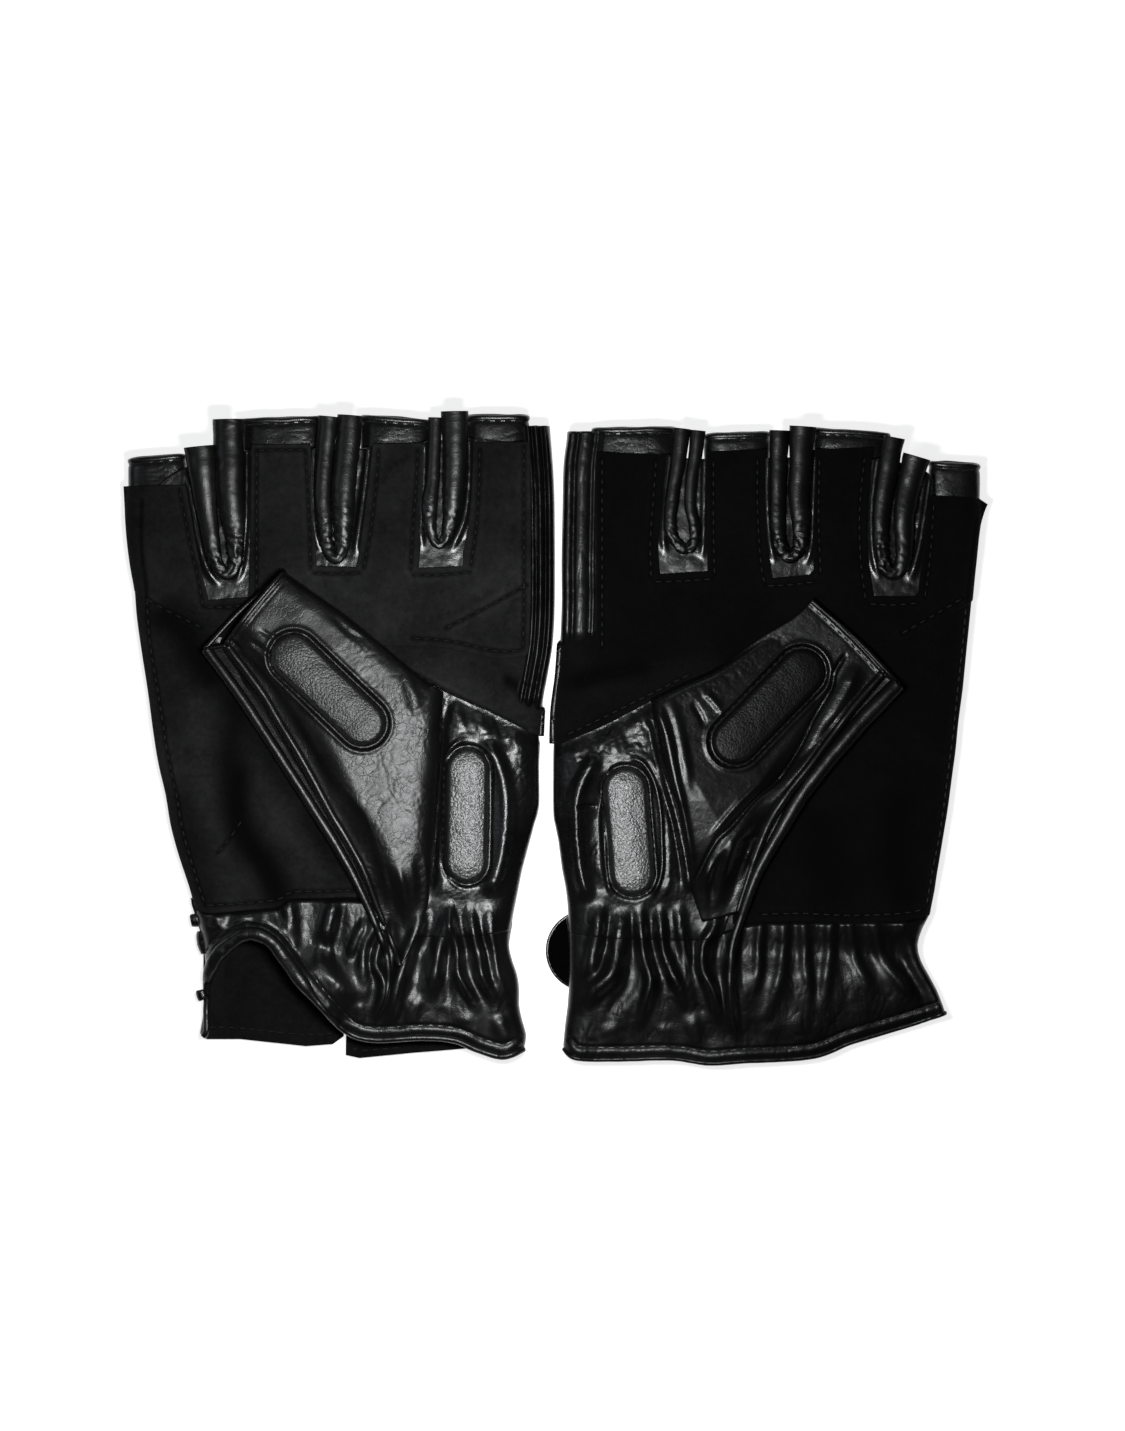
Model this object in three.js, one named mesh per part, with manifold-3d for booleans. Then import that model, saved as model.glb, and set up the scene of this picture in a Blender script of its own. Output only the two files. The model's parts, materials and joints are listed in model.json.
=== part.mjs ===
// Fingerless riding gloves, one pair, lying palm up side by side.
// Millimetres. +Z points up out of the palms, +Y towards the fingers. The right glove is on the
// -X side, and the thumb edges of the two gloves face each other across X = 0.
// Every panel is cut sheet stock stacked in layers, with the hand space left open between the
// back layer and the palm layer.
import * as THREE from 'three';
import { mergeVertices } from 'three/addons/utils/BufferGeometryUtils.js';
import Module from 'manifold-3d';

const wasm = await Module();
wasm.setup();

// ---- driving dimensions ----------------------------------------------------------------
const LEATHER = 1.0; // panel thickness
const COVER_LEATHER = 0.8; // pad cover thickness
const GAP = 0.3; // clearance between neighbouring pieces
const OVERLAP = 0.4; // how far joined parts run into each other
const WALL_INSET = 0.6; // side walls stand this far inside the panel edge
const PAIR_SHIFT = [1.1, -0.4]; // brings the pair's box centre onto the origin

// Layers are [bottom, top] in Z.
const above = (layer, thickness) => [layer[1] + GAP, layer[1] + GAP + thickness];
const BACK = [0, 1.2];
const WALL = above(BACK, 5.7);
const PALM = above(WALL, LEATHER);
const PATCH = above(PALM, LEATHER);
const HEEL_GEL = above(PATCH, 2);
const HEM = [BACK[0], PALM[1]];
const THUMB_BACK = [10.4, 11.4];
const THUMB_WELT = above(THUMB_BACK, 3);
const THUMB_PALM = above(THUMB_WELT, LEATHER);
const THUMB_GEL = above(THUMB_PALM, 1.7);
const STRAP = [0.2, 1.4];
const HOOK = above(STRAP, 0.6);
const LOOP = above(HOOK, 0.6);
const CUFF_BACK = above(LOOP, LEATHER);
const CUFF_PALM = [10, 11]; // the gathered cuff stands a little higher than the palm
const ELASTIC = [9.2, 9.7];

// Stations along Y.
const FLEX_Y = 44.9; // knuckle line where the finger half meets the hand half
const HAND_TOP = FLEX_Y - GAP;
const FINGERS_BOTTOM = FLEX_Y + GAP;
const SHOULDER_Y = 54; // where the outermost palm tongues leave the side edges
const PALM_NOTCH_Y = 46.2; // bottom of the notches between palm tongues
const BACK_NOTCH_Y = 52; // bottom of the notches between back fingers
const WRIST_Y = -46.3; // lower edge of the suede palm
const BACK_END_Y = -43.6; // lower edge of the back shell
const CUFF_TOP = WRIST_Y - 0.5;
const CUFF_BACK_TOP = BACK_END_Y - GAP;
const CUFF_END_RISE = 0.6; // the thumb edge joins the lower outline this far above its end
const ELASTIC_Y = [-54, -58];
const STRAP_Y = -54.9; // centre line of the closure strap
const LOOP_PATCH_Y = [-63.5, -45.5];

const BAND_LIP = 1.8; // how far the edge band laps over the palm edge
const BACK_NOTCH_HALF = 0.6;
const THENAR_INSET = 1.2; // from the thumb edge
const FINGER_HEM_RADIUS = 3.2;
const THUMB_HEM_RADIUS = 2.4;
const THUMB_HEM_DEPTH = 2.4;
const THUMB_HEM_RISE = 0.6; // above the thumb's palm panel
const WELT_WIDTH = 1.6;
const BINDING_RADIUS = 0.8;
const BINDING_OFFSET_Y = 0.4; // above the lower outline of the cuff
const STRAP_WIDTH = 21.2;
const HOOK_MARGIN = 1.6; // strap left bare on each side of the hook pad
const HOOK_LENGTH = 22; // straight part

// ---- outlines --------------------------------------------------------------------------
// littleEdge, thumbEdge and cuffLittleEdge: [y, x] from the fingertips down.
// All other lists of points: [x, y].
// fingers: listed from -X to +X. x is the hem's span, hemY its [bottom, top], and tongue is
// the outline of the suede palm finger from -X to +X.
// forks: fourchettes, the U-shaped tubes between fingers, by their two ends and lowest point.
const RIGHT = {
  side: 'right',
  thumbDir: 1, // X direction from the little-finger edge to the thumb edge
  littleEdge: [
    [72, -111.8], [66.3, -112.6], [59.8, -112.3], [52, -111.8], [44.2, -110.8], [36.4, -109.7],
    [28.6, -108.7], [20.8, -107.4], [13, -106.3], [5.2, -105.3], [-2.6, -104.3], [-10.4, -102.7],
    [-18.2, -101.1], [-26, -99.3], [-33.8, -97.5], [-39, -95.4], [-46.3, -93.1],
  ],
  thumbEdge: [
    [80.6, -2.1], [75.4, -1.6], [67.6, -1], [59.8, -0.8], [36.4, -1], [20.8, -1.6],
    [10.4, -2.3], [0, -3.1], [-7.8, -3.6], [-14.3, -4.4], [-22.1, -6], [-29.9, -8.1],
    [-37.7, -9.9], [-45.5, -11.2], [-53.3, -12.2], [-61.1, -10.7], [-68.9, -9.6],
    [-76.7, -8.1], [-80.1, -8.3],
  ],
  cuffLittleEdge: [
    [-46.8, -92.8], [-53.3, -92], [-61.1, -91], [-68.9, -91.8], [-76.7, -93.3], [-79.5, -92],
  ],
  bandWidth: 6.2,
  fingers: {
    little: {
      x: [-111.5, -97.2],
      hemY: [66.3, 73.8],
      tongue: [[-112, 66], [-96.8, 66], [-93.2, 57], [-92.6, 52]],
    },
    ring: {
      x: [-80.9, -62.1],
      hemY: [77.3, 84],
      tongue: [[-81.2, 52], [-80.4, 77], [-62.6, 77], [-61.4, 60], [-61.4, 52]],
    },
    middle: {
      x: [-50.4, -33.8],
      hemY: [77.3, 84],
      tongue: [[-50.6, 52], [-47.6, 77], [-34, 77], [-34, 60], [-33.9, 54]],
    },
    index: {
      x: [-22.6, -5.5],
      hemY: [77.3, 84.2],
      tongue: [[-24.4, 54], [-22, 77], [-7.4, 77]],
    },
  },
  forks: {
    ring_little: { radius: 3.2, left: [-92.9, 76.2], right: [-85.2, 82.9], low: [-85.3, 45.6] },
    middle_ring: { radius: 2.35, left: [-59.1, 83.6], right: [-53.7, 84], low: [-56.4, 45.6] },
    index_middle: { radius: 2.3, left: [-31.4, 85], right: [-26.4, 85.3], low: [-30, 49.6] },
  },
  patchLow: [
    [-110, 38.7], [-92.8, 27.8], [-70, 23.6], [-38.2, 22.9], [-15.6, 21.3], [-7.6, 21.8],
  ],
  thenarTop: [[-37.4, 17.4], [-28.1, 12], [-6.8, 1.8]],
  thenarPalmSide: [[-42.9, -45.9], [-60, -8], [-50, 15]],
  heelPad: { from: [-22.4, -7.8], to: [-22.9, -33.3], radius: 4.9 },
  // The two thumb panels share the stretch called thumbRoot.
  thumbBack: [
    [-71, 43.4], [-91.3, 23.9], [-83.2, 13], [-78, 5.2], [-62.9, -18.2], [-55.6, -29.9],
    [-50.2, -40.8],
  ],
  thumbPalm: [
    [-69.5, 40.9], [-84.2, 25.4], [-77.2, 13], [-72.5, 5.2], [-65.5, -6.5], [-59.3, -18.2],
    [-52.3, -29.9], [-47.6, -41],
  ],
  thumbRoot: [[-43.8, -42], [-31, 13], [-38.2, 18.2], [-54.6, 32.2]],
  thumbFold: [[-69.5, 40.9], [-54.6, 32.2], [-38.2, 18.2], [-31.2, 13]],
  thumbSeam: [
    [-87.6, 20.4], [-83.2, 13], [-78, 5.2], [-62.9, -18.2], [-55.6, -29.9], [-50.2, -40.8],
  ],
  thumbOpening: { from: [-91, 24.3], to: [-71.3, 43] },
  thumbPad: { from: [-66.8, 20.3], to: [-50.7, 3.1], radius: 4.9 },
  cuffLow: [
    [-90.4, -75.4], [-89, -62.1], [-86.4, -56.5], [-82.2, -51.2], [-78.8, -49.9], [-74.1, -52],
    [-69.4, -58.2], [-61.6, -68.4], [-55.4, -75.4], [-48.4, -77.7], [-34.3, -77], [-26.5, -78],
    [-20.3, -80.9], [-14, -82.4], [-8.9, -80.1],
  ],
  cuffLittleEndY: -74.6,
  cuffLittleWallEndY: -61,
  cuffBackOuterLow: [[-91.4, -79], [-82.7, -77.9], [-65.5, -79.9], [-56.2, -78.6]],
  cuffBackInnerLow: [[-55.4, -81.6], [-51.5, -82.9], [-22.6, -80.4], [-9.6, -80.4]],
  elasticX: [-88.8, -14.6],
  strapRootX: -92.3,
  strapEndX: -24, // centre of the rounded end
  loopPatchX: [-44, -15],
};

const LEFT = {
  side: 'left',
  thumbDir: -1,
  littleEdge: [
    [71.5, 109.5], [62.4, 110], [55.9, 110], [52, 109.7], [44.2, 108.9], [36.4, 107.9],
    [28.6, 107.1], [20.8, 106.3], [13, 105.6], [5.2, 104.5], [-2.6, 103.7], [-10.4, 102.7],
    [-18.2, 101.7], [-26, 100.4], [-33.8, 99.1], [-41.6, 97.5], [-46.3, 97],
  ],
  thumbEdge: [
    [81.9, 2.6], [75.4, 2.9], [71.5, 2.1], [62.4, 1.3], [52, 0.8], [36.4, 0.3], [23.4, -0.5],
    [10.4, -0.8], [0, -0.8], [-10.4, -0.3], [-18.2, -0.3], [-26, 0.3], [-33.8, 1.3],
    [-37.7, 2.1], [-45.5, 2.9], [-57.2, 3.4], [-65, 3.1], [-72.8, 2.3], [-80.3, 1.6],
  ],
  cuffLittleEdge: [
    [-46.8, 95.6], [-53.3, 93.9], [-57.2, 94.6], [-61.1, 96.7], [-65, 98.8], [-68.9, 100.4],
    [-71.2, 100.9],
  ],
  bandWidth: 6.6,
  fingers: {
    index: {
      x: [7.5, 29.9],
      hemY: [75.2, 81.1],
      tongue: [[9.6, 74.9], [26.4, 74.9], [27.4, 56]],
    },
    middle: {
      x: [38.7, 54.3],
      hemY: [75.2, 79.8],
      tongue: [[39, 56], [39, 74.9], [54.2, 74.9], [54.2, 52]],
    },
    ring: {
      x: [67.3, 84.5],
      hemY: [75.2, 80.6],
      tongue: [[67.3, 52], [67.3, 74.9], [80, 74.9], [80, 60], [80.6, 52]],
    },
    little: {
      x: [97.2, 109.7],
      hemY: [63, 72],
      tongue: [[93.6, 52], [97.4, 62.7], [110.4, 62.7]],
    },
  },
  forks: {
    index_middle: { radius: 2, left: [32.3, 80.6], right: [36.6, 80.3], low: [32.6, 48.2] },
    middle_ring: { radius: 2.5, left: [57.9, 80.2], right: [63.6, 81.2], low: [60.6, 46.4] },
    ring_little: { radius: 2.6, left: [87.5, 78.4], right: [93.4, 74], low: [87.4, 45.6] },
  },
  patchLow: [
    [109, 36.4], [90.5, 26], [68, 24.2], [46.5, 23.7], [23.1, 19.8], [12.2, 16.6], [6.2, 14.2],
  ],
  thenarTop: [[40.3, 18], [23.9, 10.4], [1.3, -0.8]],
  thenarPalmSide: [[46.6, -45.9], [60, -14], [52, 12]],
  heelPad: { from: [18.2, -13], to: [20.5, -37.7], radius: 5.2 },
  thumbBack: [
    [65.3, 36.1], [91, 12.4], [90.2, 10.4], [73.1, -3.6], [62.1, -13.8], [55.9, -23.9],
    [51.2, -36.4], [49.6, -42],
  ],
  thumbPalm: [
    [65, 34.2], [84, 16], [79, 7.4], [68, -3], [58.4, -14], [52.4, -24], [48.4, -38],
    [47.6, -42],
  ],
  thumbRoot: [[44.9, -42], [29.5, 11.6], [40.3, 18.2], [52.8, 26.8], [61.4, 32.2]],
  thumbFold: [[65, 34.2], [61.4, 32.2], [52.8, 26.8], [40.3, 18.2], [29.7, 11.7]],
  thumbSeam: [
    [87.4, 8.6], [73.1, -3.6], [62.1, -13.8], [55.9, -23.9], [51.2, -36.4], [49.6, -42],
  ],
  thumbOpening: { from: [65.8, 36.6], to: [91.2, 12.8] },
  thumbPad: { from: [47.1, 0.5], to: [62.4, 16.6], radius: 4.9 },
  cuffLow: [
    [100.6, -71.2], [91.8, -74.1], [76.2, -78.8], [66, -82.4], [48.1, -83.5], [39.5, -84.2],
    [29.4, -82.7], [5.2, -82.9], [2, -80.6],
  ],
  cuffLittleEndY: -70.6,
  cuffLittleWallEndY: -69,
  cuffBackOuterLow: [[99, -70.6], [91, -73], [76, -77.4], [65.8, -80.6], [55.4, -81.2]],
  cuffBackInnerLow: [[54.4, -81.6], [29.4, -81.2], [5.4, -81.2], [3.2, -79.6]],
  elasticX: [91.2, 6.2],
  strapRootX: 93.9,
  strapEndX: 7.6,
  loopPatchX: [38, 7],
};

// ---- materials -------------------------------------------------------------------------
const MATERIALS = {
  smooth_leather: { color: 0x1c1c1e, roughness: 0.38 },
  suede: { color: 0x141314, roughness: 0.95 },
  pad_leather: { color: 0x2a2a2c, roughness: 0.5 },
  gel: { color: 0x3c3f44, roughness: 0.6 },
  hook: { color: 0x101010, roughness: 0.9 },
  loop: { color: 0x161616, roughness: 1 },
  elastic: { color: 0x1a1a1a, roughness: 0.85 },
};
const makeMaterial = (name) =>
  new THREE.MeshStandardMaterial({ ...MATERIALS[name], metalness: 0 });

// ---- flat outlines ---------------------------------------------------------------------
const last = (list) => list[list.length - 1];

// X of an edge table at height y, held constant beyond its ends.
function edgeX(table, y) {
  if (y >= table[0][0]) return table[0][1];
  for (let i = 1; i < table.length; i++) {
    if (y >= table[i][0]) {
      const [y0, x0] = table[i - 1];
      const [y1, x1] = table[i];
      return x0 + ((x1 - x0) * (y - y0)) / (y1 - y0);
    }
  }
  return last(table)[1];
}

// Points [x, y] down an edge table; stations too close to either end are skipped.
function edgePoints(table, top, bottom, shiftX = 0) {
  const minStep = 0.8;
  const between = table.map(([y]) => y).filter((y) => y < top - minStep && y > bottom + minStep);
  return [top, ...between, bottom].map((y) => [edgeX(table, y) + shiftX, y]);
}

const outlineBetween = (edgeA, edgeB, top, bottom) =>
  [...edgePoints(edgeA, top, bottom), ...edgePoints(edgeB, top, bottom).reverse()];

const rectangle = ([x0, x1], [y0, y1]) => [[x0, y0], [x1, y0], [x1, y1], [x0, y1]];

// Slot outline with rounded ends centred on two points.
function stadium(from, to, radius) {
  const segments = 8;
  const angle = Math.atan2(to[1] - from[1], to[0] - from[0]);
  const points = [];
  for (const [center, start] of [[to, angle - Math.PI / 2], [from, angle + Math.PI / 2]]) {
    for (let i = 0; i <= segments; i++) {
      const t = start + (Math.PI * i) / segments;
      points.push([center[0] + radius * Math.cos(t), center[1] + radius * Math.sin(t)]);
    }
  }
  return points;
}

// Strip along a line; positive width lies to the left of its direction of travel.
function strip(line, width) {
  const offset = line.map(([x, y], i) => {
    const before = line[Math.max(0, i - 1)];
    const after = line[Math.min(line.length - 1, i + 1)];
    const dx = after[0] - before[0];
    const dy = after[1] - before[1];
    const length = Math.hypot(dx, dy);
    return [x - (width * dy) / length, y + (width * dx) / length];
  });
  return [...line, ...offset.reverse()];
}

function roundedRectangle([x0, x1], [z0, z1], radius) {
  const corners = [
    [x1 - radius, z0 + radius, -90],
    [x1 - radius, z1 - radius, 0],
    [x0 + radius, z1 - radius, 90],
    [x0 + radius, z0 + radius, 180],
  ];
  return corners.flatMap(([x, z, start]) => [0, 30, 60, 90].map((step) => {
    const t = ((start + step) * Math.PI) / 180;
    return [x + radius * Math.cos(t), z + radius * Math.sin(t)];
  }));
}

// ---- solids ----------------------------------------------------------------------------
const toVectors = (points) => points.map(([x, y]) => new THREE.Vector2(x, y));

function extrude(points, depth, { hole, steps = 1 } = {}) {
  const shape = new THREE.Shape(toVectors(points));
  if (hole) shape.holes.push(new THREE.Path(toVectors(hole)));
  return new THREE.ExtrudeGeometry(shape, { depth, bevelEnabled: false, steps });
}

const plate = (points, [bottom, top]) => extrude(points, top - bottom).translate(0, 0, bottom);

// Profile [x from the edge, z] carried down Y while following an edge table.
function rail(profile, table, top, bottom, steps) {
  const geometry = extrude(profile, top - bottom, { steps });
  geometry.rotateX(Math.PI / 2).translate(0, top, 0);
  const position = geometry.attributes.position;
  for (let i = 0; i < position.count; i++) {
    position.setX(i, position.getX(i) + edgeX(table, position.getY(i)));
  }
  return geometry;
}

function tube(points, radius, sides, steps) {
  const ring = new THREE.Shape(Array.from({ length: sides }, (_, i) => {
    const t = (2 * Math.PI * i) / sides;
    return new THREE.Vector2(radius * Math.cos(t), radius * Math.sin(t));
  }));
  ring.closePath();
  const vectors = points.map((point) => new THREE.Vector3(...point));
  const extrudePath = new THREE.CatmullRomCurve3(vectors, false, 'centripetal');
  return new THREE.ExtrudeGeometry(ring, { steps, bevelEnabled: false, extrudePath });
}

// Turned hem: a rounded leather loop seen along Y, reaching down from top.
function hemLoop({ x, z, radius, top, depth }) {
  const inset = ([low, high]) => [low + LEATHER, high - LEATHER];
  const hole = roundedRectangle(inset(x), inset(z), radius - LEATHER);
  return extrude(roundedRectangle(x, z, radius), depth, { hole })
    .rotateX(Math.PI / 2)
    .translate(0, top, 0);
}

function toManifold(geometry) {
  const bare = new THREE.BufferGeometry();
  bare.setAttribute('position', geometry.attributes.position);
  const merged = mergeVertices(bare, 1e-4);
  const mesh = new wasm.Mesh({
    numProp: 3,
    vertProperties: new Float32Array(merged.attributes.position.array),
    triVerts: new Uint32Array(merged.index.array),
  });
  mesh.merge();
  return new wasm.Manifold(mesh);
}

function fromManifold(manifold) {
  const mesh = manifold.getMesh();
  const indexed = new THREE.BufferGeometry();
  const vertices = new Float32Array(mesh.vertProperties);
  indexed.setAttribute('position', new THREE.BufferAttribute(vertices, 3));
  indexed.setIndex(new THREE.BufferAttribute(new Uint32Array(mesh.triVerts), 1));
  const geometry = indexed.toNonIndexed();
  geometry.computeVertexNormals();
  return geometry;
}

const join = (...parts) => fromManifold(parts.map(toManifold).reduce((a, b) => a.add(b)));
const cut = (body, tool) => fromManifold(toManifold(body).subtract(toManifold(tool)));

// ---- pads ------------------------------------------------------------------------------
const gelInsert = ({ from, to, radius }, layer) =>
  plate(stadium(from, to, radius - COVER_LEATHER - GAP), layer);

// Cap over a gel insert, open underneath.
function padCover({ from, to, radius }, [bottom, gelTop]) {
  const ceiling = gelTop + GAP;
  return cut(
    plate(stadium(from, to, radius), [bottom, ceiling + COVER_LEATHER]),
    plate(stadium(from, to, radius - COVER_LEATHER), [bottom - 1, ceiling]),
  );
}

// ---- side profiles ---------------------------------------------------------------------
// Upright wall; inward is the X direction from the edge into the glove.
const wallProfile = (inward, bottom, top) => [
  [inward * WALL_INSET, bottom],
  [inward * WALL_INSET, top],
  [inward * (WALL_INSET + LEATHER), top],
  [inward * (WALL_INSET + LEATHER), bottom],
];
const littleWall = (hand, top, bottom, steps) => rail(
  wallProfile(hand.thumbDir, BACK[1] - OVERLAP, WALL[1]), hand.littleEdge, top, bottom, steps);

// Band that rises along the thumb edge and turns in over the palm edge.
function bandProfile({ bandWidth, thumbDir }, bottom, inset) {
  const lip = bandWidth - BAND_LIP;
  const points = [ // [distance in from the edge, z]
    [LEATHER, bottom], [0, bottom], [0, 4.2], [0.9, 6], [2.6, 7.6], [lip, PALM[1]],
    [lip, PALM[0]], [3, 6.7], [1.8, 5.5], [1, 4],
  ];
  return points.map(([x, z]) => [-thumbDir * (x + inset), z]);
}
const palmThumbEdge = ({ thumbEdge, thumbDir, bandWidth }) =>
  thumbEdge.map(([y, x]) => [y, x - thumbDir * bandWidth]);

// ---- hand half -------------------------------------------------------------------------
const backPanel = (hand) => join(
  plate(outlineBetween(hand.littleEdge, hand.thumbEdge, HAND_TOP, BACK_END_Y), BACK),
  littleWall(hand, HAND_TOP, BACK_END_Y, 10),
);

const indexSideWall = (hand) =>
  rail(bandProfile(hand, WALL[0], 0), hand.thumbEdge, HAND_TOP, BACK_END_Y, 12);

const palmPanel = (hand) =>
  plate(outlineBetween(hand.littleEdge, palmThumbEdge(hand), HAND_TOP, WRIST_Y), PALM);

const palmPatch = (hand) => plate([
  [edgeX(palmThumbEdge(hand), HAND_TOP), HAND_TOP],
  [edgeX(hand.littleEdge, HAND_TOP), HAND_TOP],
  ...hand.patchLow,
], PATCH);

function thenarPanel({ thenarTop, thenarPalmSide, thumbEdge, thumbDir }) {
  const sideTop = last(thenarTop)[1] - 1;
  const side = edgePoints(thumbEdge, sideTop, WRIST_Y, -thumbDir * THENAR_INSET);
  return plate([...thenarTop, ...side, ...thenarPalmSide], PATCH);
}

// ---- finger half -----------------------------------------------------------------------
// The two side edges in order of X.
const inOrderOfX = (hand, littleSide, thumbSide) =>
  (hand.thumbDir > 0 ? [littleSide, thumbSide] : [thumbSide, littleSide]);

function palmFingers(hand) {
  const [firstEdge, lastEdge] = inOrderOfX(hand, hand.littleEdge, palmThumbEdge(hand));
  const tongues = Object.values(hand.fingers).map((finger) => finger.tongue);
  const at = (edge, y) => [edgeX(edge, y), y];
  const points = [at(firstEdge, FINGERS_BOTTOM), at(firstEdge, SHOULDER_Y)];
  tongues.forEach((tongue, i) => {
    points.push(...tongue);
    const next = tongues[i + 1];
    if (next) points.push([last(tongue)[0], PALM_NOTCH_Y], [next[0][0], PALM_NOTCH_Y]);
  });
  points.push(at(lastEdge, SHOULDER_Y), at(lastEdge, FINGERS_BOTTOM));
  return plate(points, PALM);
}

function backFingers(hand) {
  const [firstEdge, lastEdge] = inOrderOfX(hand, hand.littleEdge, hand.thumbEdge);
  const fingers = Object.values(hand.fingers);
  const points = [[edgeX(firstEdge, FINGERS_BOTTOM), FINGERS_BOTTOM]];
  fingers.forEach(({ x, hemY }, i) => {
    const next = fingers[i + 1];
    const x0 = i === 0 ? edgeX(firstEdge, hemY[0]) : x[0];
    const x1 = next ? x[1] : edgeX(lastEdge, hemY[0]);
    points.push([x0, hemY[0] - GAP], [x1, hemY[0] - GAP]);
    if (next) {
      const middle = (x[1] + next.x[0]) / 2;
      points.push([middle - BACK_NOTCH_HALF, BACK_NOTCH_Y]);
      points.push([middle + BACK_NOTCH_HALF, BACK_NOTCH_Y]);
    }
  });
  points.push([edgeX(lastEdge, FINGERS_BOTTOM), FINGERS_BOTTOM]);

  const littleTop = hand.fingers.little.hemY[0] - GAP;
  const indexTop = hand.fingers.index.hemY[0] - GAP;
  const band = bandProfile(hand, BACK[1] - OVERLAP, WALL_INSET);
  return join(
    plate(points, BACK),
    littleWall(hand, littleTop, FINGERS_BOTTOM, 4),
    rail(band, hand.thumbEdge, indexTop, FINGERS_BOTTOM, 5),
  );
}

const fingerHem = ({ x, hemY: [bottom, top] }) =>
  hemLoop({ x, z: HEM, radius: FINGER_HEM_RADIUS, top, depth: top - bottom });

// U-shaped tube: two legs running down to a round bend, resting on the palm layer.
function fourchette({ radius, left, right, low: [lowX, lowY] }) {
  const bend = radius + 0.2;
  const bendY = lowY + radius + bend;
  const z = PALM[1] + GAP + radius;
  const legX = (end, x) => end[0] * 0.45 + x * 0.55;
  const points = [
    left,
    [legX(left, lowX - bend), bendY + 14],
    [lowX - bend, bendY + 3],
    [lowX - bend, bendY],
    [lowX - bend * 0.74, bendY - bend * 0.72],
    [lowX, bendY - bend],
    [lowX + bend * 0.74, bendY - bend * 0.72],
    [lowX + bend, bendY],
    [lowX + bend, bendY + 3],
    [legX(right, lowX + bend), bendY + 14],
    right,
  ];
  return tube(points.map(([x, y]) => [x, y, z]), radius, 8, 24);
}

// ---- thumb stall -----------------------------------------------------------------------
const thumbBackPanel = (hand) => plate([...hand.thumbBack, ...hand.thumbRoot], THUMB_BACK);

const thumbPalmPanel = (hand) => join(
  plate([...hand.thumbPalm, ...hand.thumbRoot], THUMB_PALM),
  plate(
    strip(hand.thumbFold, -hand.thumbDir * LEATHER),
    [THUMB_WELT[0], THUMB_PALM[1] - OVERLAP],
  ),
);

const thumbWelt = (hand) => plate(strip(hand.thumbSeam, hand.thumbDir * WELT_WIDTH), THUMB_WELT);

// Built along +X, then turned onto the line of the thumb opening.
function thumbHem({ thumbOpening: { from, to } }) {
  const dx = to[0] - from[0];
  const dy = to[1] - from[1];
  return hemLoop({
    x: [0, Math.hypot(dx, dy)],
    z: [THUMB_BACK[0], THUMB_PALM[1] + THUMB_HEM_RISE],
    radius: THUMB_HEM_RADIUS,
    top: THUMB_HEM_DEPTH + GAP,
    depth: THUMB_HEM_DEPTH,
  }).rotateZ(Math.atan2(dy, dx)).translate(from[0], from[1], 0);
}

// ---- cuff ------------------------------------------------------------------------------
function cuffPalmPanel(hand) {
  const { cuffLittleEdge, thumbEdge, cuffLow, thumbDir } = hand;
  const wall = (inward) => wallProfile(inward, CUFF_BACK[1] + GAP, CUFF_PALM[0] + LEATHER / 2);
  const outline = [
    ...edgePoints(cuffLittleEdge, CUFF_TOP, hand.cuffLittleEndY),
    ...cuffLow,
    ...edgePoints(thumbEdge, CUFF_TOP, last(cuffLow)[1] + CUFF_END_RISE).reverse(),
  ];
  return join(
    plate(outline, CUFF_PALM),
    rail(wall(thumbDir), cuffLittleEdge, CUFF_TOP, hand.cuffLittleWallEndY, 4),
    rail(wall(-thumbDir), thumbEdge, CUFF_TOP, -79, 5),
  );
}

function cuffHemBinding({ cuffLow }) {
  const z = CUFF_PALM[1] + GAP + BINDING_RADIUS;
  return tube(cuffLow.map(([x, y]) => [x, y + BINDING_OFFSET_Y, z]), BINDING_RADIUS, 6, 28);
}

// The cuff back is split in two: outer is the little-finger side, inner the thumb side.
function cuffBackOuter({ cuffLittleEdge, cuffBackOuterLow: low, thumbDir }) {
  const side = edgePoints(cuffLittleEdge, CUFF_BACK_TOP, low[0][1], thumbDir * GAP);
  return plate([...side, ...low, [last(low)[0], CUFF_BACK_TOP]], CUFF_BACK);
}

function cuffBackInner({ thumbEdge, cuffBackInnerLow: low, thumbDir }) {
  const sideEnd = last(low)[1] + CUFF_END_RISE;
  const side = edgePoints(thumbEdge, CUFF_BACK_TOP, sideEnd, -thumbDir * GAP);
  return plate([[low[0][0], CUFF_BACK_TOP], ...low, ...side.reverse()], CUFF_BACK);
}

// ---- closure ---------------------------------------------------------------------------
// Straight from rootX to the hand's strapEndX, then a half-round end towards the thumb edge.
function strapOutline({ strapEndX, thumbDir }, radius, rootX) {
  const segments = 12;
  const points = [[rootX, STRAP_Y - radius * thumbDir]];
  for (let i = 0; i <= segments; i++) {
    const t = -Math.PI / 2 + (Math.PI * i) / segments;
    points.push([
      strapEndX + thumbDir * radius * Math.cos(t),
      STRAP_Y + thumbDir * radius * Math.sin(t),
    ]);
  }
  points.push([rootX, STRAP_Y + radius * thumbDir]);
  return points;
}

const closureStrap = (hand) => plate(strapOutline(hand, STRAP_WIDTH / 2, hand.strapRootX), STRAP);

function strapHookPad(hand) {
  const rootX = hand.strapEndX - hand.thumbDir * HOOK_LENGTH;
  return plate(strapOutline(hand, STRAP_WIDTH / 2 - HOOK_MARGIN, rootX), HOOK);
}

// ---- assembly --------------------------------------------------------------------------
const group = new THREE.Group();
group.name = 'riding_gloves';

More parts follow.
